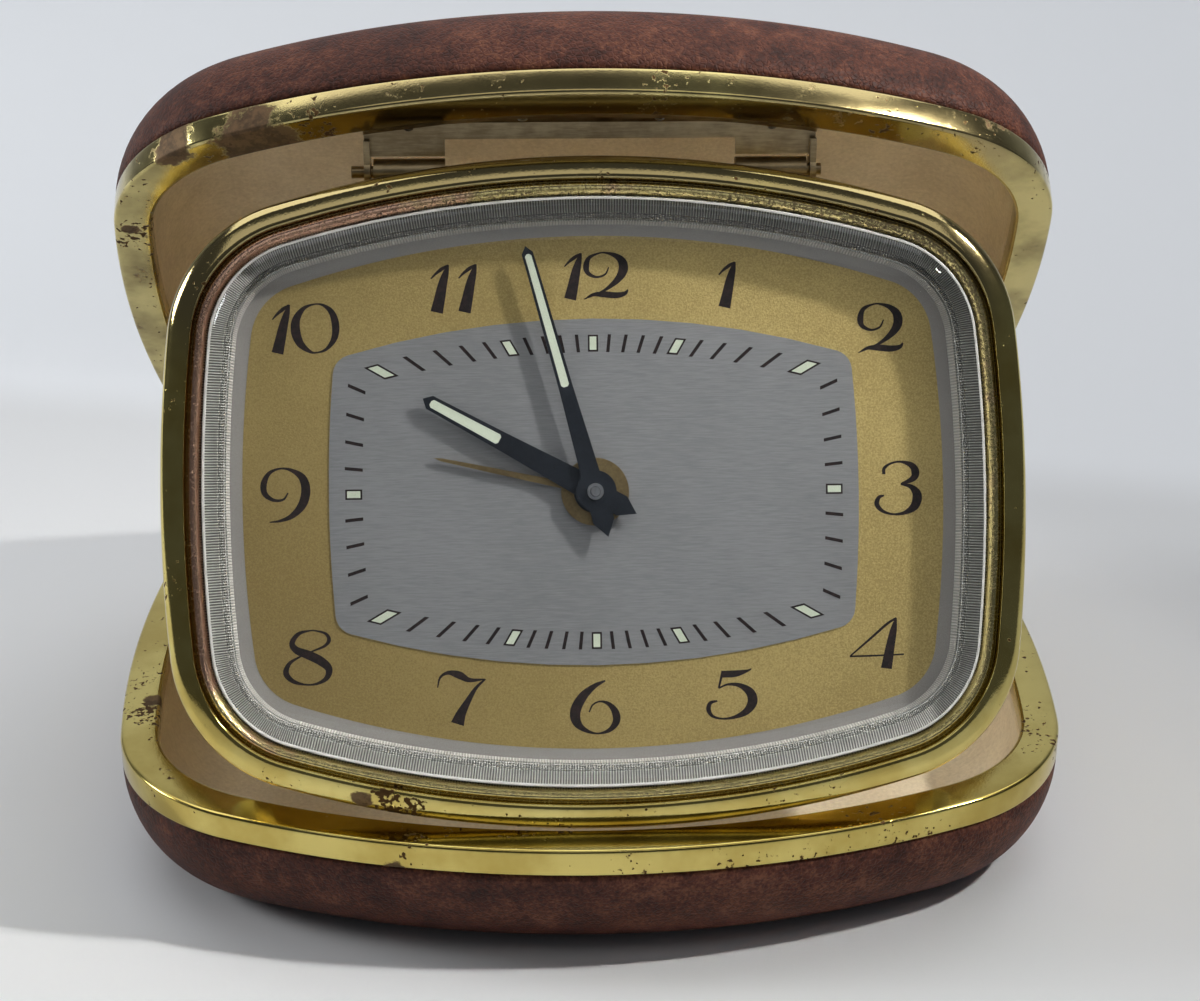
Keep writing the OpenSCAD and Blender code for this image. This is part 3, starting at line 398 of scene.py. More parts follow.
def brass(name, tarnish, pits, rough, pale=(0.76, 0.64, 0.23), deep=(0.60, 0.46, 0.13),
          spots=(), shade_patches=(), pitted=()):
    """Polished brass, clouded from pale to deep. tarnish and pits run from 0 to 1. Points with a
    radius in mm say where this clock's marks are: spots of heavy brown stain, patches of painted
    shade where the metal is coloured dark olive for a dark reflection, pitted ones where dark
    specks gather."""
    f = Finish(name)
    cloud = f.noise(9, 4, 0.6)
    freckle = f.noise(1.3, 4, 0.7)
    stain = f.step(cloud * 0.6 + freckle * 0.4, 0.72 - 0.2 * tarnish, 0.80 - 0.12 * tarnish)
    for point, radius in spots:
        ragged = f.spot(point, radius) + freckle * 1.2 + cloud * 0.4 - 0.85
        stain = stain.larger(f.step(ragged, 0.22, 0.46))
    gather = f.noise(5, 2, 0.5) * 0.5
    for point, radius in pitted:
        gather = gather + f.spot(point, radius) * 0.12
    dots = f.step(f.noise(0.55, 2, 0.5) * 0.7 + gather, 0.83 - 0.1 * pits, 0.88 - 0.1 * pits)
    metal = f.mix(f.step(cloud, 0.35, 0.68), pale, deep)
    # Painted shade: each patch colours the metal dark olive, standing in for the dark reflection on
    # the top.
    for point, radius in shade_patches:
        metal = f.mix(f.step(f.spot(point, radius) + cloud * 0.4, 0.3, 0.8), metal, SHADE_OLIVE)
    brown = f.mix(f.step(freckle, 0.4, 0.62), DARK_STAIN, RED_STAIN)
    colour = f.mix(stain * 0.92, metal, brown)
    colour = f.mix(dots, colour, PIT)
    wear = stain.larger(dots)
    f.set(base_color=colour, metallic=1 - 0.35 * stain,
          roughness=rough + 0.1 * f.noise(3, 5, 0.65) + 0.45 * wear)
    f.bump(f.noise(1.6, 5, 0.6) * 0.35 + f.noise(0.2, 2) * 0.1 - wear * 0.5, 0.03)
    return f.material


# %% [markdown]
# The case is covered in leatherette: paper-thin vinyl with a printed, mottled red-brown and a
# pressed pebble grain. A plain colour with noise looks like clay, because the eye reads grain from
# its highlights, so the pebbles go into the bump and the mottling, at three sizes, into the colour.

# %% Leatherette
PEBBLE = 0.62  # mm across
HIDE_TONES = ((0.36, (0.020, 0.008, 0.006)), (0.46, (0.058, 0.019, 0.012)),
              (0.53, (0.105, 0.034, 0.020)), (0.62, (0.20, 0.078, 0.042)))


def leatherette(name):
    """Red-brown vinyl: mottling of three sizes picks the tone, pebbles and creases the relief."""
    f = Finish(name)
    broad, middle = f.noise(16, 3, 0.6), f.noise(2.6, 5, 0.7, twist=0.4)
    fine = f.noise(0.42, 3, 0.65)
    tone = broad * 0.24 + middle * 0.38 + fine * 0.38
    colour = f.ramp(tone, *HIDE_TONES)
    pebbles = f.cells(PEBBLE, "SMOOTH_F1")
    creases = f.cells(PEBBLE, "DISTANCE_TO_EDGE")
    f.set(base_color=colour, roughness=0.42 + 0.3 * fine, specular_ior_level=0.2)
    f.bump(f.step(creases, 0.0, 0.18) * 0.6 + pebbles * 0.2 + fine * 0.5 + middle * 0.5, 0.075)
    return f.material


# %% [markdown]
# The case halves. Each is a brass rim with a flat flange, a covered shell and a lining. The model
# holds them with a roll of four flats, which suits its solids; the eye wants a smooth roll, so each
# layer is swept again with the same numbers and finer steps, and stands for the solid it repeats.

# %% The two halves of the case
BAND, DEEP, ROLL = 2.9, 14.0, 9.0  # height of the band, depth of a half, how far its roll draws in
FLANGE, LIP = 3.94, 2.0  # width of the flat flange, depth of the lip that turns in from it
RIM_T, LINING_T = 0.8, 0.5  # thickness of the rim's metal and of the lining
LINING_ROLL, LINING_DEEP = 8.2, 12.5  # how far the lining's roll draws in, and its depth


def roll(inset, reach, start, end, steps=14):
    """Quarter of an ellipse from the wall to the floor: in by 1 - cos t, start to end by sin t."""
    t = np.linspace(0, math.pi / 2, steps)
    return np.column_stack([inset + reach * (1 - np.cos(t)), start + (end - start) * np.sin(t)])


hide = leatherette("leatherette")


def half_case(which, place, side, brasswork):
    """side is -1 where the half is below its rim and +1 where it is above."""
    flip = np.array([1, side])
    behind_lip = FLANGE - LINING_T
    edge = rounded([[RIM_T, BAND], [0, BAND], [0, 0], [FLANGE, 0], [FLANGE, LIP], [behind_lip, LIP],
                    [behind_lip, RIM_T], [RIM_T, RIM_T]], 0.42)
    rim = sweep(f"{which}_brass_rim", CASE, edge * flip, place, which)
    rim.data.materials.append(brasswork)
    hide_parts(f"{which}_rim")
    outside = roll(0, ROLL, BAND, DEEP, 20)
    tuck = [[RIM_T, BAND + 0.05], [0.42, BAND + 0.02], [0.16, BAND + 0.18], [0.03, BAND + 0.7]]
    inside = roll(RIM_T, ROLL - RIM_T, BAND + 0.05, DEEP - RIM_T)
    hide_edge = np.vstack([inside[::-1], tuck, outside[2:]])
    cover = sweep(f"{which}_leatherette", CASE, hide_edge * flip, place, which, closed=False)
    cover.data.materials.append(hide)
    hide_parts(f"{which}_cover")
    out_wall = roll(behind_lip, LINING_ROLL, LIP, LINING_DEEP)
    in_wall = roll(FLANGE, LINING_ROLL, LIP, LINING_DEEP - LINING_T)
    cloth_edge = np.vstack([out_wall[::-1], in_wall])
    lining = sweep(f"{which}_cloth_lining", CASE, cloth_edge * flip, place, which, closed=False)
    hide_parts(f"{which}_lining")
    return rim, cover, lining


base_brass = brass(
    "base_rim_brass", 0.3, 0.75, 0.09, pale=(0.66, 0.54, 0.175), deep=(0.50, 0.38, 0.10),
    spots=[((-46.5, -16, 14), 2.2), ((-19.8, -44.7, 10.8), 1.8), ((27, -43, 7.6), 1.6)],
    pitted=[((-45.5, -19, 14), 9), ((12.5, -46, 10), 8), ((26.5, -43, 8), 11), ((44, -25, 14), 8)])
lid_brass = brass(
    "lid_rim_brass", 0.7, 0.75, 0.1, pale=(0.72, 0.61, 0.26), deep=(0.36, 0.29, 0.12),
    spots=[((-32.3, -11.8, 73.3), 7), ((-41.5, -10.2, 73.4), 4.5), ((41, -7.2, 77), 6.5),
           ((-47.4, -1, 61.3), 1.6)],
    # painted shade on the top of the lid's band
    shade_patches=[((-12, -12, 81), 30), ((30, -10, 80), 26)],
    pitted=[((-27, -12, 79), 9), ((8, -13.5, 82.5), 8), ((-46, -3, 60), 12)])
halves = {"base": half_case("base", BASE, -1, base_brass),
          "lid": half_case("lid", LID, 1, lid_brass)}
print("faces of rim, cover and lining:", [len(piece.data.polygons) for piece in halves["base"]])

# %% [markdown]
# The lining is a flocked tan paper. Flock scatters light at grazing angles, which is what sheen is
# for, and it has a faint felted mottling rather than a weave.

# %% The lining's flock
flock = Finish("tan_flock")
fluff, nap = flock.noise(0.5, 4, 0.7), flock.noise(7, 3)
felted = flock.step(fluff * 0.6 + nap * 0.4, 0.3, 0.7)
flock.set(base_color=flock.mix(felted, (0.68, 0.55, 0.36), (0.90, 0.76, 0.54)), roughness=0.95,
          sheen_weight=0.2, sheen_roughness=0.5)
flock.bump(fluff, 0.08)
for rim, cover, lining in halves.values():
    lining.data.materials.append(flock.material)
print("nodes in the flock:", len(flock.tree.nodes))

# %% [markdown]
# The clock's face is framed by a rolled brass bezel that slopes up to a soft crest, and inside it
# by a ring whose gilding has worn to copper. Both are sweeps with a rounded profile, because a
# sharp one gives no line of light.

# %% Bezel and inner ring
BEZEL_D = 3.5  # depth of the bezel and of all that it holds

bezel_edge = rounded([
    [0, BEZEL_D], [0, 1.6], [0.2, 0.95], [0.8, 0.45], [1.5, 0.18], [2.1, 0.0], [2.42, 0.1],
    [2.52, 0.5], [2.58, 0.95], [2.7, 0.95], [2.7, BEZEL_D]], 0.3)
bezel = sweep("bezel_roll", FACE, bezel_edge, CLOCK, "clock", upright=True)
bezel.data.materials.append(brass(
    "bezel_brass", 0.35, 0.6, 0.05, spots=[((-23, -42.7, 17.2), 2.0)],
    # painted shade on the bezel's top and upper corners
    shade_patches=[((0, -12, 78), 34), ((-31, -17, 69), 26), ((31, -17, 69), 22)],
    pitted=[((-20, -43, 16.5), 8), ((4, -44, 14), 9), ((20, -43, 16), 9)]))
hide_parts("bezel")
ring_edge = rounded([
    [2.72, BEZEL_D], [2.72, 0.92], [2.9, 0.55], [3.2, 0.5], [3.6, 0.85], [3.93, 1.4],
    [3.93, BEZEL_D]], 0.25)
ring = sweep("inner_ring", FACE, ring_edge, CLOCK, "clock", upright=True)


def crusty(name):
    """Gilding gone grainy: specks roughen the top and right, copper shows at the left and top."""
    f = Finish(name)
    grains, broad = f.noise(0.28, 3, 0.75), f.noise(7, 3, 0.6)
    rubbed = broad + f.spot((-37, -30, 42), 32) * 0.5 + f.spot((-30, -20, 68), 24) * 0.4
    bare = f.step(rubbed, 0.55, 0.75)
    metal = f.mix(bare, (0.78, 0.66, 0.30), (0.80, 0.50, 0.36))
    crust = f.spot((33, -18, 68), 45).larger(f.spot((-10, -14, 76), 40) * 0.5)
    specks = f.step(grains + crust * 0.16, 0.58, 0.68)
    f.set(base_color=f.mix(specks * 0.85, metal, (0.09, 0.055, 0.03)), metallic=1 - 0.5 * specks,
          roughness=0.12 + 0.3 * specks)
    f.bump(grains, 0.05)
    return f.material


ring.data.materials.append(crusty("crusty_gilding"))
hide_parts("bezel_inner_ring")
print("faces of the bezel and of the ring:", len(bezel.data.polygons), len(ring.data.polygons))

# %% [markdown]
# The crystal is thick moulded acrylic over a wall of fine ribs, with a pale line round its front
# edge: the ribs' light and dark stripes are painted glints and shade, and the line is a painted
# highlight. Real refraction is worth its cost here: it bends the dial's border at the wall as the
# photograph shows. Lamps would be shut out by refracting glass, so rays that only ask for light go
# straight through.

# %% The crystal
GLASS_IN, WALL = 3.95, 1.9  # how far in the crystal stands, and the thickness of its wall
# The crystal's outer side and the ribs' inner side, then the backs of both
GLASS_SIDE, RIB_SIDE = GLASS_IN + 0.01, GLASS_IN + WALL - 0.1
GLASS_BACK, RIB_BACK = 3.45, 3.4
ACRYLIC_IOR = 1.45  # a little under the real 1.49, so that the wall hides less of the dial


def clear(name):
    f = Finish(name)
    glass = f.add("ShaderNodeBsdfGlass", {},
                  {"Color": (0.97, 0.98, 0.98), "Roughness": 0.0, "IOR": ACRYLIC_IOR})
    through = f.add("ShaderNodeBsdfTransparent", {}, {"Color": (0.96, 0.97, 0.97)})
    shadow = f.add("ShaderNodeLightPath", out="Is Shadow Ray")
    blend = f.add("ShaderNodeMixShader", {}, {0: shadow, 1: glass, 2: through})
    output = next(n for n in f.tree.nodes if n.type == "OUTPUT_MATERIAL")
    f.tree.links.new(blend.socket, output.inputs["Surface"])
    return f.material


inside = [[9.5, 0.5], [GLASS_IN + WALL + 0.6, 0.95], [GLASS_IN + WALL + 0.1, 1.7],
          [GLASS_IN + WALL, GLASS_BACK]]
outside = [[GLASS_SIDE, GLASS_BACK], [GLASS_SIDE, 1.6], [GLASS_IN + 0.12, 0.7],
           [GLASS_IN + 0.5, 0.0], [GLASS_IN + 1.3, -0.55], [GLASS_IN + 3.0, -0.9]]
glass_edge = rounded(inside + outside, 0.4, closed=False, steps=6)
crystal = sweep("crystal_moulding", FACE, glass_edge, CLOCK, "clock", closed=False, upright=True,
                dome=(0, -0.08))
crystal.data.materials.append(clear("clear_acrylic"))
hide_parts("crystal")

# Painted glints and shade: the wall is an opaque sheet whose light and dark stripes stand for the
# light the clear ribs would refract.
rib_glints = Finish("ribbed_acrylic")
rib = rib_glints.ribs(0.27)
rib_glints.set(base_color=rib_glints.mix(rib, (0.13, 0.12, 0.11), (0.78, 0.76, 0.71)), roughness=0.3,
          metallic=0.25)
rib_glints.bump(rib, 0.12)
rib_edge = rounded([[4.08, 1.35], [4.08, RIB_BACK], [RIB_SIDE, RIB_BACK], [RIB_SIDE, 3.2],
                    [4.3, 3.1], [4.22, 1.35]], 0.12)
ribs = sweep("ribbed_wall", FACE, rib_edge, CLOCK, "clock", upright=True)
ribs.data.materials.append(rib_glints.material)

# Painted highlight: the pale line round the crystal's front edge is an opaque ring coloured as the
# glint on that edge.
edge_glint = Finish("painted_highlight_acrylic_edge")
haze = edge_glint.noise(1.5, 3)
edge_glint.set(base_color=edge_glint.mix(haze, (0.62, 0.60, 0.57), (0.90, 0.88, 0.85)),
           roughness=0.15 + 0.2 * haze)
line_edge = rounded([[4.12, 1.3], [4.12, 0.95], [4.35, 0.72], [4.68, 0.74], [4.5, 1.3]], 0.1)
edge_highlight = sweep("crystal_edge_highlight", FACE, line_edge, CLOCK, "clock", upright=True)
edge_highlight.data.materials.append(edge_glint.material)
print("faces of the crystal and its ribs:", len(crystal.data.polygons), len(ribs.data.polygons))

# %% [markdown]
# Between crystal and dial stands a white-metal spacer whose sloping face is finely fluted. Its
# flutes run across the slope, so they follow the sweep's own UV map rather than the object's
# coordinates.

# %% The fluted spacer
flutes = Finish("fluted_silver")
ridge = flutes.ribs(0.3)
# Painted glints and shade: the flutes' light and dark stripes are put in the colour as well as the
# bump.
flutes.set(base_color=flutes.mix(ridge, (0.52, 0.49, 0.46), (0.84, 0.80, 0.76)), metallic=0.3,
           roughness=0.4)
flutes.bump(ridge, 0.08)
spacer_edge = rounded([[3.87, 3.52], [3.87, 4.98], [6.3, 4.98], [6.05, 4.3], [5.6, 3.52]], 0.1)
spacer = sweep("fluted_spacer", FACE, spacer_edge, CLOCK, "clock", upright=True)
spacer.data.materials.append(flutes.material)
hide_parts("rehaut_ring")
print("faces of the spacer:", len(spacer.data.polygons))

# %% [markdown]
# The dial is a stamped plate: a grained gold chapter ring round a brushed silver panel, in a silver
# border. The gold is a thin printed layer here, ruled between two outlines, so its edges stay crisp
# at any zoom. Its sparkle is a very fine noise in both colour and bump.

# %% The dial's metals
DIAL_Y, PANEL_Y = 5.0, 4.85  # depths of the dial's face and of the panel's
PRINT, SUNK = 0.03, 0.002  # thickness of the printed gold, and what its sides leave to the dial
INK_TOP = 0.05  # the numerals' face, in front of the dial's


def satin(name, light, dark, grain_mm, metallic, rough, depth_mm, lower_left_shade=0.0,
          stretch=(1, 1, 1)):
    """Satin metal with painted shade that darkens it to brown towards the lower left, whose grain
    may be drawn out along one direction.
    """
    f = Finish(name)
    lie = f.stretched(stretch)
    grain = f.noise(grain_mm, 3, 0.7, lie)
    patchy = f.noise(14, 3, 0.5)
    toned = f.mix(f.step(grain * 0.75 + patchy * 0.25, 0.36, 0.64), dark, light)
    # Painted shade: the colour is darkened to brown towards the lower left, where less light falls.
    lower_left_shade_mask = f.spot((-45, -38, 22), 85) * lower_left_shade
    brown = (dark[0] * 0.55, dark[1] * 0.5, dark[2] * 0.5)
    f.set(base_color=f.mix(lower_left_shade_mask, toned, brown), metallic=metallic,
          roughness=rough + 0.15 * grain)
    f.bump(grain, depth_mm)
    return f.material


# The last number sets the painted shade at the lower left of the gold.
gold = satin("grained_gold", (0.68, 0.52, 0.205), (0.46, 0.335, 0.12), 0.19, 0.6, 0.42, 0.04, 0.7)
gold_loops = [loop(shape, inset, DIAL_Y - lift) for shape, inset, lift in (
    (GOLD, 0, SUNK), (GOLD, 0, PRINT), (PANEL, 0.02, PRINT), (PANEL, 0.02, SUNK))]
chapter = skin("gold_chapter_ring", gold_loops, CLOCK, "clock", smooth=False)
chapter.data.materials.append(gold)
silver = satin("border_silver", (0.44, 0.41, 0.385), (0.37, 0.345, 0.325), 0.1, 0.4, 0.4, 0.004)
brushed = satin("brushed_panel", (0.335, 0.330, 0.342), (0.265, 0.262, 0.272), 0.12, 0.45, 0.42,
                0.006, stretch=(0.06, 1, 1))

print("faces of the chapter ring:", len(chapter.data.polygons))

# %% [markdown]
# The hour numerals are drawn with a broad nib: hairlines that swell into heavy stems. A font file
# may not be read, and the built-in one is a plain sans, so each numeral is a few strokes. A stroke
# is a row of points (x, y, width) in a box one unit high; a Catmull-Rom curve runs through them,
# and the nib's edges stand half a width to each side.

# %% Pen strokes
CURVE_STEPS = 10  # steps between two points of a stroke
HAIRLINE = 0.02  # the narrowest stroke, in heights of the numeral


def curve(points, closed=False):
    """Catmull-Rom: between two points the curve is a cubic whose slopes point from neighbour to
    neighbour."""
    p = np.array(points, float)
    if closed:
        p = np.vstack([p[-1:], p, p[:2]])
    else:
        p = np.vstack([2 * p[:1] - p[1:2], p, 2 * p[-1:] - p[-2:-1]])
    t = np.linspace(0, 1, CURVE_STEPS, endpoint=False)[None, :, None]
    a, b, c, d = (p[i:len(p) - 3 + i, None] for i in range(4))
    path = (b + (c - a) * t / 2 + (2 * a - 5 * b + 4 * c - d) * t**2 / 2
            + (3 * b - a - 3 * c + d) * t**3 / 2)
    path = path.reshape(-1, p.shape[1])
    return path if closed else np.vstack([path, p[-2:-1]])


def nib(points, closed=False):
    """Left and right edges of a pen stroke through (x, y, width) points."""
    path = curve(points, closed)
    ahead = np.roll(path, -1, 0) - np.roll(path, 1, 0) if closed else np.gradient(path, axis=0)
    speed = np.maximum(np.hypot(ahead[:, 0], ahead[:, 1]), 1e-9)[:, None]
    across = np.column_stack([-ahead[:, 1], ahead[:, 0]]) / speed
    half = np.maximum(path[:, 2:3], HAIRLINE) / 2
    return path[:, :2] + across * half, path[:, :2] - across * half


CLOSED = "08"  # the digits whose stroke comes back to its start
STROKES = {
    "0": [
        [(.49, .985, .035), (.27, .91, .08), (.12, .7, .16), (.1, .45, .19), (.19, .2, .15),
         (.37, .045, .07), (.5, .015, .035), (.7, .08, .06), (.86, .29, .12), (.89, .55, .15),
         (.82, .8, .12), (.66, .95, .06)],
    ],
    "1": [
        [(.37, .99, .03), (.315, .8, .13), (.25, .55, .185), (.19, .27, .22), (.13, .01, .25)],
        [(.02, .69, .025), (.12, .8, .055), (.24, .9, .08), (.36, .985, .03)],
    ],
    "2": [
        [(.54, .67, .025), (.46, .52, .04), (.28, .465, .05), (.11, .545, .09), (.07, .69, .125),
         (.13, .88, .085), (.32, .98, .04), (.47, .995, .045), (.68, .93, .11), (.82, .79, .18),
         (.83, .59, .19), (.7, .39, .13), (.46, .2, .06), (.21, .085, .035), (.02, .01, .02)],
        [(.03, .01, .02), (.21, .1, .07), (.43, .105, .125), (.68, .085, .125), (.86, .12, .085),
         (.93, .2, .03)],
    ],
    "3": [
        [(.19, .76, .06), (.2, .87, .06), (.33, .96, .04), (.52, .985, .045), (.72, .91, .12),
         (.785, .78, .16), (.72, .665, .11), (.5, .575, .03)],
        [(.5, .575, .03), (.69, .525, .09), (.81, .38, .18), (.77, .185, .17), (.59, .055, .08),
         (.37, .02, .04), (.17, .075, .06), (.055, .2, .09), (.09, .33, .07), (.19, .37, .03)],
    ],
    "4": [
        [(.92, .99, .03), (.865, .75, .13), (.79, .4, .175), (.72, .01, .22)],
        [(.92, .985, .04), (.73, .865, .05), (.42, .6, .045), (.02, .265, .03)],
        [(.01, .258, .035), (.5, .265, .035), (1.07, .28, .03)],
    ],
    "5": [
        [(.31, .885, .13), (.57, .895, .125), (.79, .945, .05), (.87, .985, .02)],
        [(.32, .95, .05), (.24, .625, .04)],
        [(.235, .62, .03), (.42, .69, .045), (.65, .665, .09), (.84, .53, .17), (.88, .34, .19),
         (.76, .15, .14), (.53, .04, .07), (.3, .015, .04), (.115, .075, .06), (.04, .21, .09),
         (.075, .34, .07), (.21, .38, .03)],
    ],
    "6": [
        [(.66, .99, .03), (.465, .895, .09), (.26, .72, .16), (.12, .47, .19),
         (.133, .247, .165), (.275, .09, .09), (.5, .012, .035), (.72, .073, .08),
         (.845, .23, .13), (.84, .405, .135), (.734, .557, .08), (.576, .617, .035),
         (.434, .563, .03), (.36, .427, .025)],
    ],
    "7": [
        [(.02, .69, .02), (.07, .87, .04), (.215, .95, .07), (.41, .905, .135), (.59, .815, .08),
         (.86, .825, .02)],
        [(.87, .83, .03), (.7, .67, .06), (.555, .44, .11), (.43, .21, .175), (.36, .01, .24)],
    ],
    "8": [
        [(.49, .985, .03), (.295, .93, .07), (.18, .766, .1), (.26, .64, .13), (.475, .55, .16),
         (.69, .44, .16), (.83, .3, .13), (.79, .137, .09), (.62, .03, .05), (.42, .007, .035),
         (.187, .065, .08), (.054, .21, .11), (.115, .39, .07), (.295, .51, .035),
         (.547, .62, .03), (.76, .71, .05), (.84, .82, .07), (.78, .93, .05), (.62, .98, .03)],
    ],
    "9": [
        [(.51, .547, .025), (.42, .427, .04), (.237, .42, .06), (.073, .536, .105),
         (.055, .72, .12), (.164, .91, .07), (.383, .99, .035), (.6, .945, .07),
         (.774, .81, .14), (.83, .59, .165), (.766, .336, .155), (.584, .135, .1),
         (.365, .044, .05), (.157, .02, .02)],
    ],
}
# Middle and height of each numeral on the dial, in mm
NUMERALS = {
    "12": (0.4, 21.25, 4.75), "1": (13.3, 20.25, 4.7), "2": (28.4, 15.85, 4.9),
    "3": (29.95, 0.0, 5.35), "4": (27.6, -15.3, 5.1), "5": (13.2, -20.1, 5.15),
    "6": (-0.25, -21.2, 5.45), "7": (-13.3, -20.1, 5.5), "8": (-28.3, -15.9, 5.45),
    "9": (-30.3, 0.05, 5.4), "10": (-28.15, 16.3, 4.95), "11": (-13.6, 20.1, 4.9),
}
ADVANCE = {"10": 0.40, "11": 0.555, "12": 0.40}  # from one digit to the next, in heights


def plates(name, outlines, y_back, y_front):
    """Flat slips, each between a left and a right edge, with a front, a back and sides."""
    points, faces, start = [], [], 0
    for left, right, closed in outlines:
        n = len(left)
        ring = [np.column_stack([edge[:, 0], np.full(n, y), edge[:, 1]])
                for edge, y in ((left, y_back), (left, y_front), (right, y_front), (right, y_back))]
        points += ring
        j, i = np.meshgrid(np.arange(4), np.arange(n if closed else n - 1), indexing="ij")
        k, e = (j + 1) % 4, (i + 1) % n
        quads = np.stack([j * n + i, j * n + e, k * n + e, k * n + i], -1).reshape(-1, 4)
        faces += (start + quads).tolist()
        if not closed:
            faces += [[start + q * n for q in range(4)],
                      [start + q * n + n - 1 for q in (3, 2, 1, 0)]]
        start += 4 * n
    return make(name, np.vstack(points), faces, CLOCK, "clock", smooth=False)


def write(numeral):
    """The numeral's strokes as pairs of edges, its box set about its place on the dial."""
    x, z, tall = NUMERALS[numeral]
    sides, offset = [], 0.0
    for digit in numeral:
        for points in STROKES[digit]:
            left, right = nib(points, digit in CLOSED)
            sides.append((left + [offset, 0], right + [offset, 0], digit in CLOSED))
        offset += ADVANCE.get(numeral, 0)
    everything = np.vstack([edge for left, right, _ in sides for edge in (left, right)])
    middle = (everything.max(0) + everything.min(0)) / 2
    return [((left - middle) * tall + [x, z], (right - middle) * tall + [x, z], closed)
            for left, right, closed in sides]


slips = [slip for numeral in NUMERALS for slip in write(numeral)]
numerals = plates("hour_numerals", slips, DIAL_Y - PRINT, DIAL_Y - INK_TOP)
print("numerals' faces:", len(numerals.data.polygons))

# %% [markdown]
# The minute track follows the panel's bowed outline: a mark at every sixth degree, four strokes
# between two lumed blocks. Each mark is cut from a ray of constant width by two drawn-in outlines,
# so it leans as the ray does while its ends lie along the track. The ends are found by halving the
# rays again and again, all marks at once.

# %% The minute track
HALVINGS, FAR = 40, 40.0  # how often a ray is halved, and a length beyond the panel's corners
# Half width, outer and inner inset
STROKE, BLOCK, LUME = (0.16, 1.55, 3.3), (0.5, 1.6, 3.25), (0.33, 1.77, 3.07)


def meet_outline(inset, direction, side):
    """Where side*perpendicular + t*direction crosses the panel's outline, found by bisection. Drawn
    in by more than its corner radius, an outline would cross itself there, so its corners become
    as round as the inset needs."""
    edge = outline((*PANEL[:4], max(PANEL[4], inset + 0.01)), inset, steps=60)
    angle, radius = np.arctan2(edge[:, 1], edge[:, 0]), np.hypot(*edge.T)
    order = np.argsort(angle)
    angle, radius = angle[order], radius[order]
    across = np.column_stack([direction[:, 1], -direction[:, 0]]) * side
    low, high = np.zeros(len(direction)), np.full(len(direction), FAR)
    for _ in range(HALVINGS):
        t = (low + high) / 2
        q = across + direction * t[:, None]
        there = np.arctan2(q[:, 1], q[:, 0])
        inner = np.hypot(*q.T) < np.interp(there, angle, radius, period=2 * math.pi)
        low, high = np.where(inner, t, low), np.where(inner, high, t)
    return across + direction * low[:, None]


def track_marks(minutes, half, far, near):
    """A slip for each minute: its ray, half a width to each side, between two drawn-in outlines."""
    turn = np.radians(360 / 60 * np.array(minutes))
    direction = np.column_stack([np.sin(turn), np.cos(turn)])
    a, b, c, d = (meet_outline(inset, direction, side)
                  for inset in (far, near) for side in (half, -half))
    return [(np.array([a[i], c[i]]), np.array([b[i], d[i]]), False) for i in range(len(turn))]


thin = [m for m in range(60) if m % 5]
hours = [m for m in range(60) if m % 5 == 0]
strokes_and_blocks = track_marks(thin, *STROKE) + track_marks(hours, *BLOCK)
marks = plates("minute_marks", strokes_and_blocks, PANEL_Y, PANEL_Y - 0.02)
lumes = plates("hour_lumes", track_marks(hours, *LUME), PANEL_Y - 0.019, PANEL_Y - 0.06)

ink = Finish("dark_ink")
blot = ink.noise(0.5, 3)
ink.set(base_color=ink.mix(ink.step(blot, 0.35, 0.7), (0.012, 0.007, 0.007), (0.028, 0.015, 0.014)),
        roughness=0.6 + 0.2 * blot, specular_ior_level=0.25)
paint = Finish("lume_paint")
crumb = paint.noise(0.12, 3)
paint.set(base_color=paint.mix(crumb, (0.60, 0.66, 0.50), (0.80, 0.84, 0.70)), roughness=0.75)
paint.bump(crumb, 0.03)
for piece in (numerals, marks):
    piece.data.materials.append(ink.material)
lumes.data.materials.append(paint.material)
print("strokes and blocks of the track:", len(thin), len(hours))

# %% [markdown]
# Everything else keeps the model's own shape and only needs its metal: blued hands, a dark bronze
# bracket, plain steel, and the lacquered brass of a cheap, sound movement.

# %% Metals for the model's own pieces
def plain_metal(name, light, dark, rough, metallic=1.0, grain_mm=0.3, depth_mm=0.004,
                stretch=(1, 1, 1)):
    """Metal with a fine grain and, over it, the faint smears that handling leaves."""
    f = Finish(name)
    grain = f.noise(grain_mm, 4, 0.65, f.stretched(stretch))
    smear = f.noise(4, 4, 0.6)
    toned = f.step(grain * 0.4 + smear * 0.6, 0.35, 0.65)
    f.set(base_color=f.mix(toned, dark, light), metallic=metallic, roughness=rough + 0.18 * smear)
    f.bump(grain, depth_mm)
    return f.material


steel = plain_metal("bright_steel", (0.62, 0.62, 0.64), (0.45, 0.45, 0.47), 0.22)
blued = plain_metal("blue_black_hand", (0.012, 0.016, 0.024), (0.006, 0.008, 0.013), 0.32, 0.2)
bronze = plain_metal("dark_bronze", (0.56, 0.44, 0.26), (0.30, 0.22, 0.12), 0.28, grain_mm=0.25,
                     depth_mm=0.01, stretch=(0.1, 1, 1))
train = plain_metal("movement_brass", (0.74, 0.60, 0.30), (0.58, 0.44, 0.19), 0.26)
gilt = plain_metal("gilt_hand", (0.42, 0.31, 0.15), (0.28, 0.20, 0.10), 0.35)
case_steel = plain_metal("painted_shell", (0.20, 0.17, 0.14), (0.13, 0.11, 0.09), 0.5, 0.3)
outer_brass = brass("case_brass", 0.45, 0.6, 0.2)

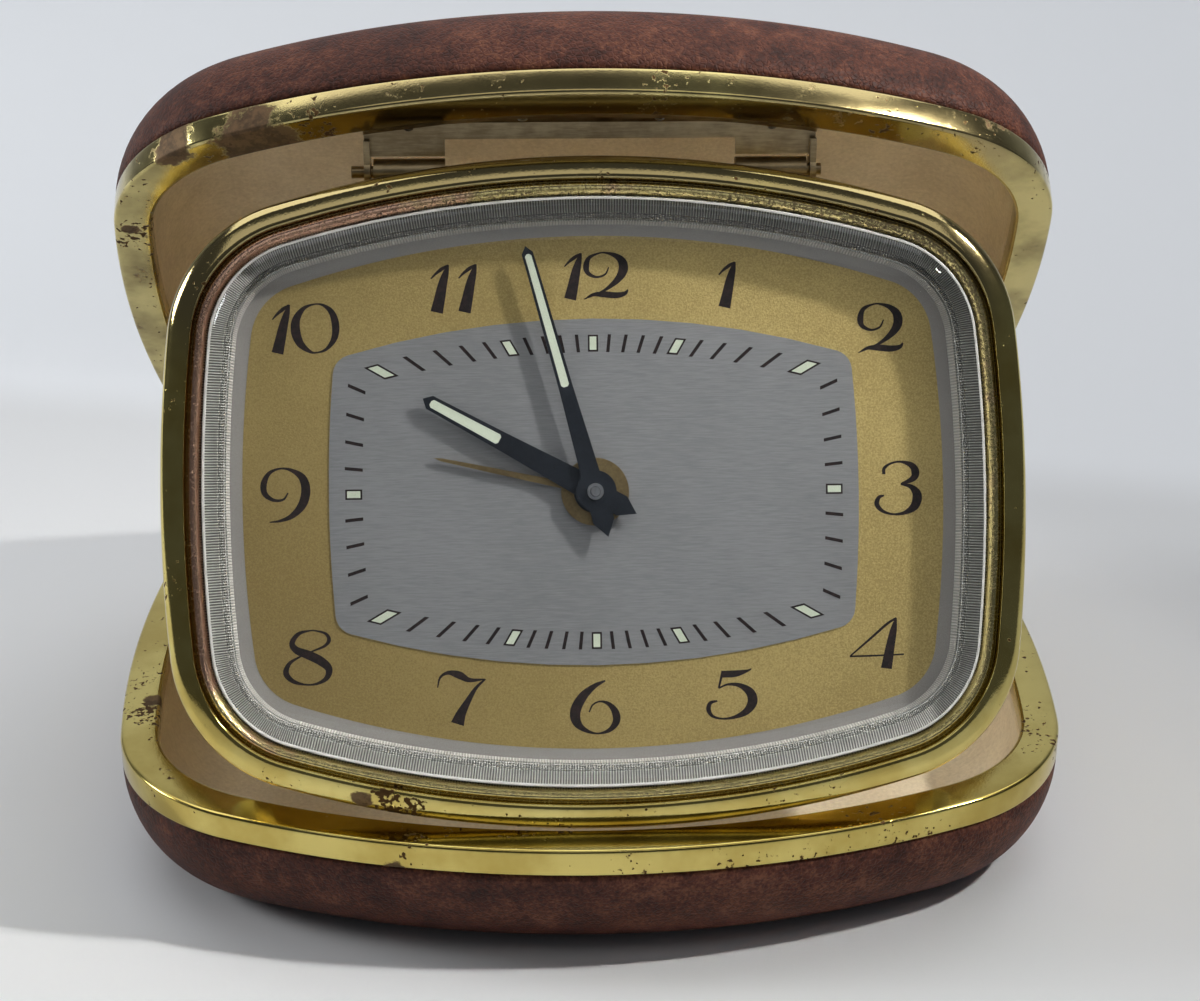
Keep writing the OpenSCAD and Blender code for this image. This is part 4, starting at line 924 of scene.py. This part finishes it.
LOOKS = [
    (steel, "rear_hinge_pin back_screws pillar_screws centre_arbor cannon_pinion escape_wheel "
            "pallet_fork strike_wheel alarm_hammer alarm_gong regulator_lever bracket_rivets"),
    (blued, "minute_hand hour_hand hairspring time_mainspring alarm_mainspring"),
    (paint.material, "minute_hand_lume hour_hand_lume"),
    (bronze, "clock_bracket clock_hinge_pin hinge_lugs"),
    (gilt, "alarm_hand"),
    (case_steel, "base_shell lid_shell"),
    (outer_brass, "rear_hinge_base_leaf rear_hinge_lid_leaf clock_band back_cover alarm_set_knob "
                  "time_winding_key alarm_winding_key time_set_knob alarm_stop_button"),
    (train, "dial_feet front_plate back_plate plate_pillars centre_wheel minute_wheel hour_wheel "
            "alarm_wheel time_great_wheel alarm_great_wheel third_wheel fourth_wheel "
            "balance_wheel"),
    (silver, "dial_plate"),
    (brushed, "dial_centre_panel"),
]
for material, names in LOOKS:
    for name in names.split():
        node = frame["nodes"][name]
        node.data.materials.clear()
        node.data.materials.append(material)
print("pieces that keep the model's mesh:", sum(len(names.split()) for _, names in LOOKS))

# %% [markdown]
# The photograph was taken on pale paper that bends up behind the clock. A big lamp overhead gives
# the soft light, a window from the left lights the brass, and a small lamp at the upper right
# throws the hands' shadows on the dial. That small lamp is kept to a narrow cone, or it would draw
# the clock's whole shadow on the paper. The far floor has a lamp of its own, for views from behind,
# and the camera sees a paler room than the one that lights the clock.

# %% Floor, backdrop and lights
SLANT = 0.24  # of the line where the sheet turns paler: how far it falls back for each unit of x
PALER_FROM, PALER_TO, RAGGED = 0.078, 0.098, 0.006  # across that line, metres, and its unevenness


def paper():
    """Grey sheet with painted shade: darker on the near side of a slanting line behind the clock,
    paler beyond it, as in the photograph.
    """
    f = Finish("backdrop_paper")
    x, y = (f.add("ShaderNodeSeparateXYZ", {}, {0: f.place}, out=axis) for axis in ("X", "Y"))
    # Painted shade: the sheet is coloured darker on the near side of the line, where the lamps'
    # shadows fall round the clock.
    beyond = f.step(y + x * SLANT + (f.noise(60, 2) - 0.5) * RAGGED, PALER_FROM, PALER_TO)
    f.set(base_color=f.mix(beyond, (0.76, 0.765, 0.77), (0.87, 0.885, 0.905)), roughness=0.85)
    return f.material


BEND_FROM, BEND = 560, 240  # where the floor starts to rise, and the radius of the rise
HALF_SPAN, WALL_TOP = 2500, 1500  # how far the sheet reaches to each side, and how high


def cyclorama():
    """Floor that bends up into a wall: a profile of (back, up) carried across, as a grid."""
    t = np.linspace(0, math.pi / 2, 16)
    back = np.r_[-HALF_SPAN, BEND_FROM, BEND_FROM + BEND * np.sin(t), BEND_FROM + BEND]
    up = np.r_[0, 0, BEND * (1 - np.cos(t)), WALL_TOP]
    n, m = 5, len(back)
    across = np.linspace(-HALF_SPAN, HALF_SPAN, n)
    grid = np.stack(np.broadcast_arrays(across[None, :], back[:, None], up[:, None]), -1)
    faces = [[j * n + i, j * n + i + 1, (j + 1) * n + i + 1, (j + 1) * n + i]
             for j in range(m - 1) for i in range(n - 1)]
    mesh = bpy.data.meshes.new("backdrop")
    mesh.from_pydata((grid.reshape(-1, 3) * MM).tolist(), [], faces)
    mesh.polygons.foreach_set("use_smooth", np.full(len(faces), True))
    sheet = bpy.data.objects.new("backdrop", mesh)
    bpy.context.scene.collection.objects.link(sheet)
    mesh.materials.append(paper())


cyclorama()


def lamp(name, place_mm, aim_mm, size_mm, watts, colour, spread=180):
    """Rectangular lamp that points from its place to its aim, in a cone spread degrees wide."""
    light = bpy.data.objects.new(name, bpy.data.lights.new(name, "AREA"))
    bpy.context.scene.collection.objects.link(light)
    light.data.shape = "RECTANGLE"
    light.data.size, light.data.size_y = (s * MM for s in size_mm)
    light.data.energy, light.data.color, light.data.spread = watts, colour, math.radians(spread)
    light.location = Vector(place_mm) * MM
    light.rotation_mode = "QUATERNION"
    light.rotation_quaternion = (Vector(aim_mm) - Vector(place_mm)).to_track_quat("-Z", "Y")


lamp("key", (259, -72, 310), (14, -24, 58), (20, 20), 0.042, (1.0, 0.98, 0.95), spread=34)
lamp("left window", (-700, 90, 330), (0, 20, 0), (200, 200), 2.2, (0.95, 0.98, 1.0))
lamp("front", (0, -300, 560), (0, -60, 20), (700, 200), 0.3, (1.0, 0.99, 0.97))
lamp("overhead", (0, 330, 850), (0, 180, 0), (1300, 700), 4.8, (0.97, 0.98, 1.0))
lamp("far floor", (0, -1350, 700), (0, -1350.1, 0), (2600, 1500), 6.0, (0.98, 0.99, 1.0), spread=90)

ROOM_LIGHT, DIM = (0.62, 0.66, 0.72, 1), 0.105  # the room's light and its strength
ROOM_SEEN = (0.62, 0.65, 0.70, 1)  # the room as the camera sees it
world = bpy.data.worlds.new("room")
bpy.context.scene.world = world
world.use_nodes = True
room = world.node_tree
dim = room.nodes["Background"]
dim.inputs["Color"].default_value = ROOM_LIGHT
dim.inputs["Strength"].default_value = DIM
pale_room = room.nodes.new("ShaderNodeBackground")
pale_room.inputs["Color"].default_value = ROOM_SEEN
either = room.nodes.new("ShaderNodeMixShader")
room.links.new(room.nodes.new("ShaderNodeLightPath").outputs["Is Camera Ray"], either.inputs[0])
room.links.new(dim.outputs[0], either.inputs[1])
room.links.new(pale_room.outputs[0], either.inputs[2])
output = next(n for n in room.nodes if n.type == "OUTPUT_WORLD")
room.links.new(either.outputs[0], output.inputs["Surface"])
bpy.context.scene.view_settings.view_transform = "Standard"
